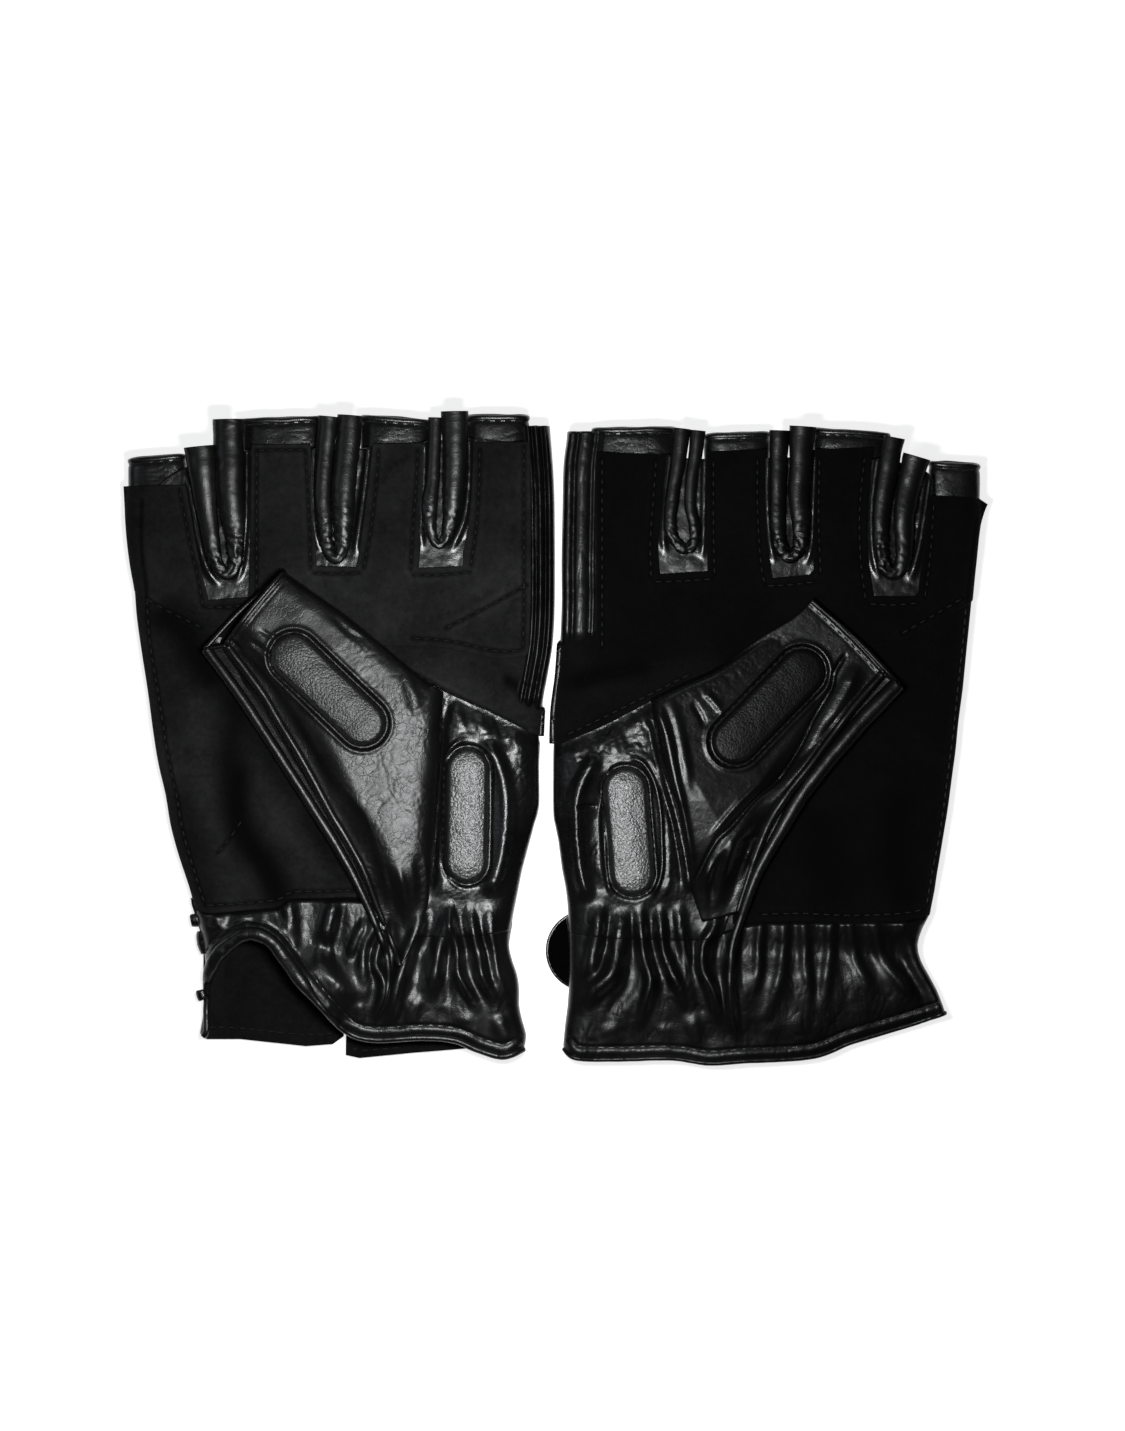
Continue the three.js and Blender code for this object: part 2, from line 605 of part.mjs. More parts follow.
function addGlove(hand) {
  const add = (piece, material, geometry) => {
    geometry.translate(...PAIR_SHIFT, 0);
    const mesh = new THREE.Mesh(geometry, makeMaterial(material));
    mesh.name = `${hand.side}_${piece}`;
    group.add(mesh);
  };

  add('back_panel', 'smooth_leather', backPanel(hand));
  add('index_side_wall', 'smooth_leather', indexSideWall(hand));
  add('palm_panel', 'suede', palmPanel(hand));
  add('palm_patch', 'suede', palmPatch(hand));
  add('thenar_panel', 'smooth_leather', thenarPanel(hand));
  add('heel_gel_insert', 'gel', gelInsert(hand.heelPad, HEEL_GEL));
  add('heel_pad_cover', 'pad_leather', padCover(hand.heelPad, HEEL_GEL));

  add('palm_fingers', 'suede', palmFingers(hand));
  add('back_fingers', 'smooth_leather', backFingers(hand));
  for (const [name, finger] of Object.entries(hand.fingers)) {
    add(`${name}_hem`, 'smooth_leather', fingerHem(finger));
  }
  for (const [name, fork] of Object.entries(hand.forks)) {
    add(`fourchette_${name}`, 'smooth_leather', fourchette(fork));
  }

  add('thumb_back_panel', 'smooth_leather', thumbBackPanel(hand));
  add('thumb_palm_panel', 'smooth_leather', thumbPalmPanel(hand));
  add('thumb_welt', 'smooth_leather', thumbWelt(hand));
  add('thumb_hem', 'smooth_leather', thumbHem(hand));
  add('thumb_gel_insert', 'gel', gelInsert(hand.thumbPad, THUMB_GEL));
  add('thumb_pad_cover', 'pad_leather', padCover(hand.thumbPad, THUMB_GEL));

  add('cuff_palm_panel', 'smooth_leather', cuffPalmPanel(hand));
  add('cuff_hem_binding', 'smooth_leather', cuffHemBinding(hand));
  add('cuff_elastic', 'elastic', plate(rectangle(hand.elasticX, ELASTIC_Y), ELASTIC));
  add('cuff_back_outer', 'smooth_leather', cuffBackOuter(hand));
  add('cuff_back_inner', 'smooth_leather', cuffBackInner(hand));

  add('closure_strap', 'smooth_leather', closureStrap(hand));
  add('strap_hook_pad', 'hook', strapHookPad(hand));
  add('strap_loop_patch', 'loop', plate(rectangle(hand.loopPatchX, LOOP_PATCH_Y), LOOP));
}

addGlove(RIGHT);
addGlove(LEFT);

export default group;
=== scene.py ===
"""A pair of fingerless padded gloves lying side by side on a table, palms up.

The fingers point to +y, the wrists to -y and the palms to +z. The right glove lies on the -x
side and the left glove on the +x side, with their thumbs between them. Shapes are worked out in
millimetres and turned into metres when a mesh is made.
"""
import json
import math
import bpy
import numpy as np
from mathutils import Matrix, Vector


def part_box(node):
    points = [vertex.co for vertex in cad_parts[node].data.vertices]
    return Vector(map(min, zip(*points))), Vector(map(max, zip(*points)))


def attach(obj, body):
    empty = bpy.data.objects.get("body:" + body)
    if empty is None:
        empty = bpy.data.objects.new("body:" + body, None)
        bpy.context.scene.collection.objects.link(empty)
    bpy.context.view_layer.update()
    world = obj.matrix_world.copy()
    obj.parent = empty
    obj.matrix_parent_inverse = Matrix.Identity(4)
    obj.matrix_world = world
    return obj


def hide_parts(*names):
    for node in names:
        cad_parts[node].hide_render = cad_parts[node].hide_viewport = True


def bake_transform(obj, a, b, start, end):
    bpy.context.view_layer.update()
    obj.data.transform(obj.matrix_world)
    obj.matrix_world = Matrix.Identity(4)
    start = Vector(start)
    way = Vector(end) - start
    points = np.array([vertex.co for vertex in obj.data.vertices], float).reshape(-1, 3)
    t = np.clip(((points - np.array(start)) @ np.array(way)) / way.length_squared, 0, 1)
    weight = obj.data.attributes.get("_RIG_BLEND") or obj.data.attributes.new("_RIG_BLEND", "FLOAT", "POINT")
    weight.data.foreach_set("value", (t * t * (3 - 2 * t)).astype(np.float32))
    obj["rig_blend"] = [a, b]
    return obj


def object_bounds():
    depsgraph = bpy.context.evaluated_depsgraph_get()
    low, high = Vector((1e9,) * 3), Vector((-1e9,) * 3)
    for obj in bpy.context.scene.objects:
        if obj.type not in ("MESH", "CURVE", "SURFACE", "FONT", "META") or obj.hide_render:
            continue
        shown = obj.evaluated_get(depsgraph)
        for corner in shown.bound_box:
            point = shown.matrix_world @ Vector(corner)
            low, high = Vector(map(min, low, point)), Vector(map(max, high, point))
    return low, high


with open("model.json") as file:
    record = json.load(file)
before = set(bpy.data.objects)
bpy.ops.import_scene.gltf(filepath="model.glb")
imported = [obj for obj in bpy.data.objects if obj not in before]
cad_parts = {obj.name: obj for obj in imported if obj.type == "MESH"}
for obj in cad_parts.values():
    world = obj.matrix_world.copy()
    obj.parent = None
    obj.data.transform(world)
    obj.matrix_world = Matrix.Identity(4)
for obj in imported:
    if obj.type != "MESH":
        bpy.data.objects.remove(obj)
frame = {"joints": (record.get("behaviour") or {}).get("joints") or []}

from types import SimpleNamespace

import bpy
import numpy as np
from mathutils import Vector
from mathutils.geometry import delaunay_2d_cdt

# ------------------------------------------------------------------ driving dimensions
CAD_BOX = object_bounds()
MID_X = (CAD_BOX[0].x + CAD_BOX[1].x) * 500.0
MID_Y = (CAD_BOX[0].y + CAD_BOX[1].y) * 500.0

# Outlines are drawn on the grid of the cutting pattern: u runs to +x and v to -y (the wrist).
SQUARE = 0.26                  # one grid square, mm
MID_U, MID_V = 552.77, 738.46  # the grid point on the middle of the CAD pieces

STRAP_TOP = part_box("left_closure_strap")[1].z * 1000
FLEX_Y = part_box("right_back_panel")[1].y * 1000 + 0.3  # the fingers bend about this line

# sign is +1 where the thumb side faces +x
RIGHT = SimpleNamespace(side="right", sign=1)
LEFT = SimpleNamespace(side="left", sign=-1)
GLOVES = (RIGHT, LEFT)


# ------------------------------------------------------------------ points and curves
def grid_x(u):
    return MID_X + (u - MID_U) * SQUARE


def grid_y(v):
    return MID_Y + (MID_V - v) * SQUARE


def squares(text):
    """grid points written as "u,v u,v ..." """
    return np.array(text.replace(",", " ").split(), float).reshape(-1, 2)


def to_mm(grid):
    return np.c_[grid_x(grid[:, 0]), grid_y(grid[:, 1])]


def pts(text):
    return to_mm(squares(text))


def spline(controls, step=1.0, closed=False):
    """Catmull-Rom through points of any dimension, resampled about every step mm"""
    p = np.asarray(controls, float)
    count = len(p)

    def at(i):
        return p[i % count if closed else min(max(i, 0), count - 1)]
    out = []
    for k in range(count if closed else count - 1):
        a, b, c, d = at(k - 1), at(k), at(k + 1), at(k + 2)
        m = max(1, int(math.ceil(np.linalg.norm(c - b) / step)))
        t = (np.arange(m) / m)[:, None]
        out.append(0.5 * (2 * b + (c - a) * t + (2 * a - 5 * b + 4 * c - d) * t ** 2
                          + (3 * b - a - 3 * c + d) * t ** 3))
    if not closed:
        out.append(p[-1:])
    return np.vstack(out)


def curve(text, step=1.0):
    return spline(pts(text), step)


def straight(controls, step=1.0):
    """straight runs between points, resampled about every step mm"""
    p = np.asarray(controls, float)
    out = []
    for k in range(len(p) - 1):
        m = max(1, int(math.ceil(np.linalg.norm(p[k + 1] - p[k]) / step)))
        t = (np.arange(m) / m)[:, None]
        out.append(p[k] + t * (p[k + 1] - p[k]))
    out.append(p[-1:])
    return np.vstack(out)


def outline(*parts):
    """joins runs of points; a text is a run of grid points with straight lines between them"""
    return np.vstack([pts(part) if isinstance(part, str) else part for part in parts])


def offset_line(line, distance):
    """the line moved sideways, to the left of its direction"""
    t = np.gradient(line, axis=0)
    t /= np.maximum(np.linalg.norm(t, axis=1), 1e-9)[:, None]
    return line + np.c_[-t[:, 1], t[:, 0]] * distance


def follow(points, line):
    """distance to a polyline, arc position, side (+1 left of travel) and the line's length"""
    best = np.full(len(points), 1e18)
    arc, side = np.zeros(len(points)), np.zeros(len(points))
    length = 0.0
    for k in range(len(line) - 1):
        a, ab = line[k], line[k + 1] - line[k]
        sq = float(ab @ ab)
        if sq < 1e-12:
            continue
        w = points - a
        t = np.clip((w @ ab) / sq, 0, 1)
        d2 = (w[:, 0] - t * ab[0]) ** 2 + (w[:, 1] - t * ab[1]) ** 2
        m = d2 < best
        best[m] = d2[m]
        arc[m] = length + t[m] * math.sqrt(sq)
        side[m] = np.sign(ab[0] * w[m, 1] - ab[1] * w[m, 0])
        length += math.sqrt(sq)
    return np.sqrt(best), arc, side, length


def gap(points, line):
    return follow(points, line)[0]


def near(points, line, reach):
    lo, hi = line.min(0) - reach, line.max(0) + reach
    x, y = points[:, 0], points[:, 1]
    return (x > lo[0]) & (x < hi[0]) & (y > lo[1]) & (y < hi[1])


def inside(points, poly):
    x, y = points[:, 0], points[:, 1]
    result = np.zeros(len(points), bool)
    for k in range(len(poly)):
        x0, y0 = poly[k]
        x1, y1 = poly[(k + 1) % len(poly)]
        if y0 == y1:
            continue
        crosses = (y0 > y) != (y1 > y)
        result ^= crosses & (x < (x1 - x0) * (y - y0) / (y1 - y0) + x0)
    return result


# ------------------------------------------------------------------ height functions
def ease(x, a=0.0, b=1.0):
    t = np.clip((x - a) / (b - a), 0, 1)
    return t * t * (3 - 2 * t)


def bell(distance, width):
    return np.exp(-(distance / width) ** 2)


def dome(distance, radius):
    """quarter circle: 0 at the edge, 1 from radius inwards"""
    return np.sqrt(np.clip(1 - (1 - np.clip(distance / radius, 0, 1)) ** 2, 0, 1))


def hash_cell(ix, iy, seed):
    h = (ix * 374761393 + iy * 668265263 + seed * 1442695041) & 0xFFFFFFFF
    h = ((h ^ (h >> 13)) * 1274126177) & 0xFFFFFFFF
    return h ^ (h >> 16)


def noise(points, scale, seed=0):
    """gradient noise; scale is the cell size in mm"""
    p = points / scale + 13.7 * (seed % 17) + 101.3
    cell = np.floor(p).astype(np.int64)
    f = p - cell
    u = f * f * f * (f * (f * 6 - 15) + 10)

    def corner(ox, oy):
        angle = hash_cell(cell[:, 0] + ox, cell[:, 1] + oy, seed) * (2 * math.pi / 4294967296.0)
        return np.cos(angle) * (f[:, 0] - ox) + np.sin(angle) * (f[:, 1] - oy)
    a = corner(0, 0) + u[:, 0] * (corner(1, 0) - corner(0, 0))
    b = corner(0, 1) + u[:, 0] * (corner(1, 1) - corner(0, 1))
    return 1.5 * (a + u[:, 1] * (b - a))


def fbm(points, scale, seed=0, octaves=3):
    """layers of noise, each half the size and half the height of the last"""
    z, amount = 0, 1.0
    for k in range(octaves):
        z = z + amount * noise(points, scale / 2 ** k, seed + 7 * k)
        amount *= 0.5
    return z


def creases(points, degrees, along, across, seed, width=0.16, warp=0.9):
    """thin wandering valleys that run mostly along one direction; 1 in a valley, 0 outside"""
    c, s = math.cos(math.radians(degrees)), math.sin(math.radians(degrees))
    q = np.c_[points[:, 0] * c + points[:, 1] * s, -points[:, 0] * s + points[:, 1] * c]
    q = q + warp * np.c_[noise(q_points := points, across * 2.5, seed + 3),
                         noise(q_points, across * 2.2, seed + 5)]
    n = noise(q / np.array([along, across]), 1.0, seed)
    return bell(n, width) * np.clip(0.55 + 0.9 * noise(points, across * 4, seed + 11), 0, 1)


def ridge(z, points, line, height, width, taper):
    """adds to z, in place, a long bump of that height and half width along a line;
    taper is the share of the line over which it rises and falls"""
    m = near(points, line, 3.2 * width)
    d, t, _, total = follow(points[m], line)
    fade = np.ones(len(d))
    if taper:
        fade = fade * ease(t / (taper * total))
        fade = fade * ease((total - t) / (taper * total))
    z[m] += height * np.exp(-(d / width) ** 2.5) * fade


def ridges(z, points, rows, step, taper=None):
    """rows are (grid points, height mm, half width mm) with their own taper as a fourth"""
    for text, height, width, *own in rows:
        ridge(z, points, curve(text, step), height, width, own[0] if own else taper)


def grooves(z, points, lines, depth):
    for line in lines:
        ridge(z, points, line, -depth, 0.5, 0.0)


# ------------------------------------------------------------------ meshes
# every mesh is (vertices mm, faces, texture coordinates)
def close_ccw(points, step):
    """the outline resampled, without near doubles, anticlockwise"""
    p = np.asarray(points, float)
    if np.linalg.norm(p[0] - p[-1]) < 1e-6:
        p = p[:-1]
    p = straight(np.vstack([p, p[:1]]), step)[:-1]
    keep = [0]
    for k in range(1, len(p)):
        if np.linalg.norm(p[k] - p[keep[-1]]) > 0.3 * step:
            keep.append(k)
    p = p[keep]
    x, y = p[:, 0], p[:, 1]
    area = 0.5 * np.sum(x * np.roll(y, -1) - np.roll(x, -1) * y)
    return p if area > 0 else p[::-1]


def fill(border, step, rings):
    """triangulates a closed outline: border, offset rings, then a staggered grid.
    Gives points, faces, distance from the border and the indices of the border"""
    n = len(border)
    t = np.roll(border, -1, 0) - np.roll(border, 1, 0)
    t /= np.maximum(np.linalg.norm(t, axis=1), 1e-9)[:, None]
    normal = np.c_[-t[:, 1], t[:, 0]]
    points, depth = [border], [np.zeros(n)]
    for r in rings:
        q = border + normal * r
        q = q[inside(q, border)]
        good = gap(q, np.vstack([border, border[:1]])) > 0.82 * r
        points.append(q[good])
        depth.append(np.full(good.sum(), r))
    lo, hi = border.min(0), border.max(0)
    rows = []
    nxt = np.roll(border, -1, 0)
    reach = max(rings) + 0.55 * step
    for j, y in enumerate(np.arange(lo[1] + 0.37 * step, hi[1], step * 0.866)):
        c = (border[:, 1] > y) != (nxt[:, 1] > y)
        p, q = border[c], nxt[c]
        xs = np.sort(p[:, 0] + (y - p[:, 1]) * (q[:, 0] - p[:, 0]) / (q[:, 1] - p[:, 1]))
        for a, b in zip(xs[0::2], xs[1::2]):
            if b - a > 2 * reach:
                x = np.arange(math.ceil((a + reach) / step), (b - reach) / step) * step
                x = x + (0.5 * step if j % 2 else 0)
                x = x[(x > a + reach * 0.9) & (x < b - reach * 0.9)]
                rows.append(np.c_[x, np.full(len(x), y)])
    if rows:
        grid = np.vstack(rows)
        keep = np.ones(len(grid), bool)
        for s in range(0, len(grid), 2000):
            d2 = ((grid[s:s + 2000, None, :] - border[None, :, :]) ** 2).sum(2).min(1)
            keep[s:s + 2000] = d2 > (reach * 0.85) ** 2
        points.append(grid[keep])
        depth.append(np.full(keep.sum(), 9.0))
    flat = [Vector(p) for p in np.vstack(points).tolist()]
    result = delaunay_2d_cdt(flat, [], [list(range(n))], 1, 1e-7)
    out = np.array([tuple(v) for v in result[0]])
    source = np.array([o[0] if len(o) else 0 for o in result[3]])
    faces = np.array([f[:3] for f in result[2]], int)
    a, b, c = out[faces[:, 0]], out[faces[:, 1]], out[faces[:, 2]]
    cross = (b[:, 0] - a[:, 0]) * (c[:, 1] - a[:, 1]) - (b[:, 1] - a[:, 1]) * (c[:, 0] - a[:, 0])
    faces[cross < 0] = faces[cross < 0][:, ::-1]
    back = {int(s): k for k, s in reversed(list(enumerate(source)))}
    loop = [back[k] for k in range(n) if k in back]
    return out, faces, np.concatenate(depth)[source], loop


def sheet(border, top, thick=None, step=0.5, under_step=2.2, edge=0.45,
          rings=(0.12, 0.32, 0.6), under=None):
    """a closed sheet between the height fields top and under, with rounded edges"""
    border = close_ccw(border, step)
    up, up_faces, depth, loop = fill(border, step, rings)
    z_up = top(up) - edge * (1 - dome(depth, edge))
    low, low_faces, depth, low_loop = fill(border, under_step, (0.3,))
    z_low = under(low) if under else top(low) - thick
    z_low = z_low + edge * (1 - dome(depth, edge)) * 0.9
    n = len(up)
    verts = np.vstack([np.c_[up, z_up], np.c_[low, z_low]])
    faces = [tuple(f) for f in up_faces.tolist()]
    faces += [(c + n, b + n, a + n) for a, b, c in low_faces.tolist()]
    m = min(len(loop), len(low_loop))
    for k in range(m):
        a, b = loop[k], loop[(k + 1) % m]
        c, d = low_loop[k] + n, low_loop[(k + 1) % m] + n
        faces += [(b, a, c), (b, c, d)]
    return verts, faces, verts


def frame_axes(tangent):
    """sideways and upward directions across a path"""
    side = np.cross(tangent, [0, 0, 1.0])
    side /= np.maximum(np.linalg.norm(side, axis=-1), 1e-9)[..., None]
    return side, np.cross(side, tangent)


def sweep(path, wide, tall, sections=16, bump=None):
    """closed tube along a 3D path; wide and tall are its sideways and upward radii"""
    n = len(path)
    tangent = np.gradient(path, axis=0)
    tangent /= np.linalg.norm(tangent, axis=1)[:, None]
    side, up = frame_axes(tangent)
    wide = np.broadcast_to(np.asarray(wide, float), (n,))
    tall = np.broadcast_to(np.asarray(tall, float), (n,))
    angle = np.linspace(0, 2 * math.pi, sections, endpoint=False)
    s = np.concatenate([[0], np.cumsum(np.linalg.norm(np.diff(path, axis=0), axis=1))])
    arc, around = np.repeat(s, sections), np.tile(angle, n)
    swell = np.ones((n, sections))
    if bump is not None:
        swell = swell + bump(arc, around).reshape(n, sections)
    verts = path[:, None, :] + side[:, None, :] * (wide[:, None] * np.cos(angle) * swell)[..., None]
    verts = verts + up[:, None, :] * (tall[:, None] * np.sin(angle) * swell)[..., None]
    verts = np.vstack([verts.reshape(-1, 3), path[:1], path[-1:]])
    tex = np.c_[arc, around * (wide.mean() + tall.mean()) * 0.5,
                np.repeat(path[:, 0] * 0.37, sections)]
    tex = np.vstack([tex, tex[:1], tex[-1:]])
    tex[-1] = tex[-2] if False else tex[n * sections - 1] if False else tex[-1]
    tex[-1] = tex[-2]
    faces = []
    for i in range(n - 1):
        for j in range(sections):
            a, b = i * sections + j, i * sections + (j + 1) % sections
            faces.append((a, b, b + sections, a + sections))
    cap = n * sections
    last = (n - 1) * sections
    for j in range(sections):
        faces.append((cap, (j + 1) % sections, j))
        faces.append((cap + 1, last + j, last + (j + 1) % sections))
    tex[cap + 1] = tex[cap - 1]
    return verts, faces, tex


def wrinkle(amount, scale, seed, octaves, stretch=2, crease=0.0, across=2.0):
    """an uneven skin for a swept tube"""
    def bump(arc, around):
        q = np.c_[arc, around * stretch]
        return amount * fbm(q, scale, seed, octaves) - crease * creases(q, 80, 4, across, seed + 2)
    return bump


def join(parts):
    verts, faces, tex, offset = [], [], [], 0
    for part_verts, part_faces, part_tex in parts:
        verts.append(part_verts)
        tex.append(part_tex)
        faces += [tuple(i + offset for i in f) for f in part_faces]
        offset += len(part_verts)
    return np.vstack(verts), faces, np.vstack(tex)


def wall(skin, thick):
    """a closed wall behind an outer skin of (rows, columns, 3) points"""
    rows, cols, _ = skin.shape
    normal = np.cross(np.gradient(skin, axis=0), np.gradient(skin, axis=1))
    normal /= np.maximum(np.linalg.norm(normal, axis=2), 1e-9)[..., None]
    verts = np.vstack([skin.reshape(-1, 3), (skin - normal * thick).reshape(-1, 3)])
    n = rows * cols
    faces = []
    for i in range(rows - 1):
        for j in range(cols - 1):
            a = i * cols + j
            b = a + 1
            faces.append((a, a + cols, b + cols, b))
            faces.append((a + n, b + n, b + cols + n, a + cols + n))
    for j in range(cols - 1):
        faces.append((j, j + 1, j + 1 + n, j + n))
        a = (rows - 1) * cols + j
        faces.append((a + 1, a, a + n, a + 1 + n))
    for i in range(rows - 1):
        a, b = i * cols, (i + 1) * cols
        faces.append((b, a, a + n, b + n))
        a, b = a + cols - 1, b + cols - 1
        faces.append((a, b, b + n, a + n))
    return verts, faces, verts


def stitch_run(line, surface, pitch=2.6, length=1.75, radius=0.2, seed=0):
    """a run of sewn thread along a 2D line that lies on a height field"""
    s = np.concatenate([[0], np.cumsum(np.linalg.norm(np.diff(line, axis=0), axis=1))])
    total = s[-1]
    rng = np.random.RandomState(seed + 17)
    n = int(total / pitch)
    # along one stitch: place as a share of its length, height and thickness as shares
    place = np.array([-0.5, -0.42, -0.2, 0.0, 0.2, 0.42, 0.5])
    height = np.array([-0.42, -0.05, 0.75, 1.0, 0.75, -0.05, -0.42])
    thick = np.array([0.55, 0.9, 1.0, 1.0, 1.0, 0.9, 0.55])
    angle = np.linspace(0, 2 * math.pi, 6, endpoint=False)
    centres = []
    for k in range(n):
        middle = (k + 0.5) * total / n + rng.uniform(-0.1, 0.1)
        at = np.clip(middle + place * (length * rng.uniform(0.88, 1.08)), 0, total)
        centres.append(np.c_[np.interp(at, s, line[:, 0]), np.interp(at, s, line[:, 1])])
    centres = np.array(centres)
    z = surface(centres.reshape(-1, 2)).reshape(centres.shape[:2])
    z = z + (height * (0.12 + radius * 0.55))[None, :]
    path = np.dstack([centres, z])
    tangent = np.gradient(path, axis=1)
    tangent /= np.maximum(np.linalg.norm(tangent, axis=2), 1e-9)[..., None]
    side, up = frame_axes(tangent)
    around = (side[:, :, None, :] * np.cos(angle)[None, None, :, None]
              + up[:, :, None, :] * np.sin(angle)[None, None, :, None])
    verts = path[:, :, None, :] + radius * thick[None, :, None, None] * around
    verts = verts.reshape(-1, 3)
    faces = []
    for k in range(n):
        o = k * 42
        for i in range(6):
            for j in range(6):
                a, b = o + i * 6 + j, o + i * 6 + (j + 1) % 6
                faces.append((a, b, b + 6, a + 6))
        faces.append(tuple(o + j for j in reversed(range(6))))
        faces.append(tuple(o + 36 + j for j in range(6)))
    return verts, faces, verts


THREAD_RUNS = {}  # (side, group) -> meshes, made into objects at the end


def stitch(glove, group, line, surface, **style):
    runs = THREAD_RUNS.setdefault((glove.side, group), [])
    runs.append(stitch_run(line, surface, seed=len(runs) * 31 + 5, **style))


# ------------------------------------------------------------------ objects
def make(name, mesh, material, slot="smooth_leather", body=None, blend=None, replaces=(),
         shade=None):
    verts, faces, tex = mesh
    me = bpy.data.meshes.new(name)
    me.from_pydata((verts * 0.001).tolist(), [], [tuple(f) for f in faces])
    me.validate()
    at = me.attributes.new("tex", "FLOAT_VECTOR", "POINT")
    at.data.foreach_set("vector", tex.astype(np.float32).ravel())
    # shade is a factor on the colour per vertex, carrying painted shade and painted light
    tone = np.ones(len(verts)) if shade is None else shade(verts)
    at = me.attributes.new("shade", "FLOAT", "POINT")
    at.data.foreach_set("value", tone.astype(np.float32))
    me.polygons.foreach_set("use_smooth", [True] * len(me.polygons))
    me.materials.append(material)
    me.update()
    ob = bpy.data.objects.new(name, me)
    bpy.context.scene.collection.objects.link(ob)
    if blend:
        first, second, start, end = blend
        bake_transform(ob, first, second, tuple(x * 0.001 for x in start), tuple(x * 0.001 for x in end))
    else:
        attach(ob, body)
    if replaces:
        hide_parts(*replaces)
    return ob


def knuckle(glove):
    """the bend between hand and fingers"""
    return (glove.side + "_hand", glove.side + "_fingers",
            (0.0, FLEX_Y - 4.5, 9.0), (0.0, FLEX_Y + 5.5, 9.0))


JOINTS = {j["name"]: j for j in frame["joints"]}


def thumb_make(glove, name, mesh, material, **kw):
    """makes a piece that bends from the hand to the thumb across the thumb's joint"""
    joint = JOINTS[glove.side + "_thumb_lift"]
    at = np.array(joint["pos_m"]) * 1000
    across = np.cross(np.array(joint["axis"], float), [0, 0, 1.0])
    if across[0] * glove.sign > 0:
        across = -across
    across = across / np.linalg.norm(across)
    blend = (glove.side + "_hand", glove.side + "_thumb",
             tuple(at + across * 0.6), tuple(at + across * 6.0))
    ob = make(f"{glove.side}_thumb_{name}", mesh, material, blend=blend, **kw)
    # the tail towards the wrist stays sewn to the cuff
    share = ob.data.attributes["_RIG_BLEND"]
    n = len(ob.data.vertices)
    weight = np.zeros(n, np.float32)
    share.data.foreach_get("value", weight)
    co = np.zeros(n * 3, np.float32)
    ob.data.vertices.foreach_get("co", co)
    y = (co.reshape(-1, 3) * 1000.0)[:, 1]
    share.data.foreach_set("value", (weight * ease(y, -50.5, -27.0)).astype(np.float32))


def box_mm(name):
    lo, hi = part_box(name)
    return (v * 1000 for v in (lo.x, hi.x, lo.y, hi.y, lo.z, hi.z))


def rectangle(x0, x1, y0, y1):
    return np.array([(x0, y0), (x1, y0), (x1, y1), (x0, y1)])


# ------------------------------------------------------------------ materials
class Shader:
    """a material with one Principled shader, patterned by the "tex" attribute"""

    def __init__(self, name):
        self.material = bpy.data.materials.new(name)
        self.material.use_nodes = True
        self.tree = self.material.node_tree
        for n in list(self.tree.nodes):
            self.tree.nodes.remove(n)
        out = self.new("ShaderNodeOutputMaterial")
        self.surface = self.new("ShaderNodeBsdfPrincipled")
        self.link(self.surface.outputs[0], out.inputs[0])
        self.vec = self.attribute("tex").outputs["Vector"]
        self.normal = None

    def new(self, kind, **inputs):
        n = self.tree.nodes.new(kind)
        for k, v in inputs.items():
            n.inputs[k].default_value = v
        return n

    def link(self, a, b):
        self.tree.links.new(a, b)

    def attribute(self, name):
        n = self.new("ShaderNodeAttribute")
        n.attribute_name = name
        return n

    def noise(self, scale, detail=3, rough=0.5, distortion=0.0, out="Fac"):
        n = self.new("ShaderNodeTexNoise", Scale=scale, Detail=detail, Roughness=rough,
                     Distortion=distortion)
        self.link(self.vec, n.inputs["Vector"])
        return n.outputs[out]

    def cells(self, vec, scale, feature="F1"):
        n = self.new("ShaderNodeTexVoronoi")
        n.feature = feature
        n.inputs["Scale"].default_value = scale
        self.link(vec, n.inputs["Vector"])
        return n.outputs["Distance"]

    def ramp(self, fac, low, low_colour, high, high_colour):
        n = self.new("ShaderNodeValToRGB")
        el = n.color_ramp.elements
        el[0].position, el[0].color = low, (*low_colour, 1)
        el[1].position, el[1].color = high, (*high_colour, 1)
        self.link(fac, n.inputs[0])
        return n.outputs[0]

    def mask(self, fac, low, high):
        return self.ramp(fac, low, (0, 0, 0), high, (1, 1, 1))

    def math(self, op, a, b):
        n = self.new("ShaderNodeMath")
        n.operation = op
        self.link(a, n.inputs[0])
        if isinstance(b, float):
            n.inputs[1].default_value = b
        else:
            self.link(b, n.inputs[1])
        return n.outputs[0]

    def vector(self, op, a):
        n = self.new("ShaderNodeVectorMath")
        n.operation = op
        self.link(a, n.inputs[0])
        return n

    def warp(self, scale, amount):
        """moves the texture coordinate by a slow noise, so that no pattern runs straight"""
        s = self.vector("SCALE", self.noise(scale, 2, out="Color"))
        s.inputs["Scale"].default_value = amount
        a = self.vector("ADD", self.vec)
        self.link(s.outputs[0], a.inputs[1])
        return a.outputs[0]

    def bump(self, height, strength, mm):
        """adds a bump on top of those before it"""
        n = self.new("ShaderNodeBump", Strength=strength, Distance=mm * 0.001)
        self.link(height, n.inputs["Height"])
        if self.normal is not None:
            self.link(self.normal, n.inputs["Normal"])
        self.normal = n.outputs[0]

    def gloss(self, fac, low, high):
        n = self.new("ShaderNodeMapRange")
        self.link(fac, n.inputs["Value"])
        n.inputs["To Min"].default_value = low
        n.inputs["To Max"].default_value = high
        self.link(n.outputs[0], self.surface.inputs["Roughness"])

    def finish(self, colour, **inputs):
        self.link(colour, self.surface.inputs["Base Color"])
        self.link(self.normal, self.surface.inputs["Normal"])
        for k, v in inputs.items():
            self.surface.inputs[k.replace("_", " ")].default_value = v
        return self.material


def grey(value):
    return (value,) * 3


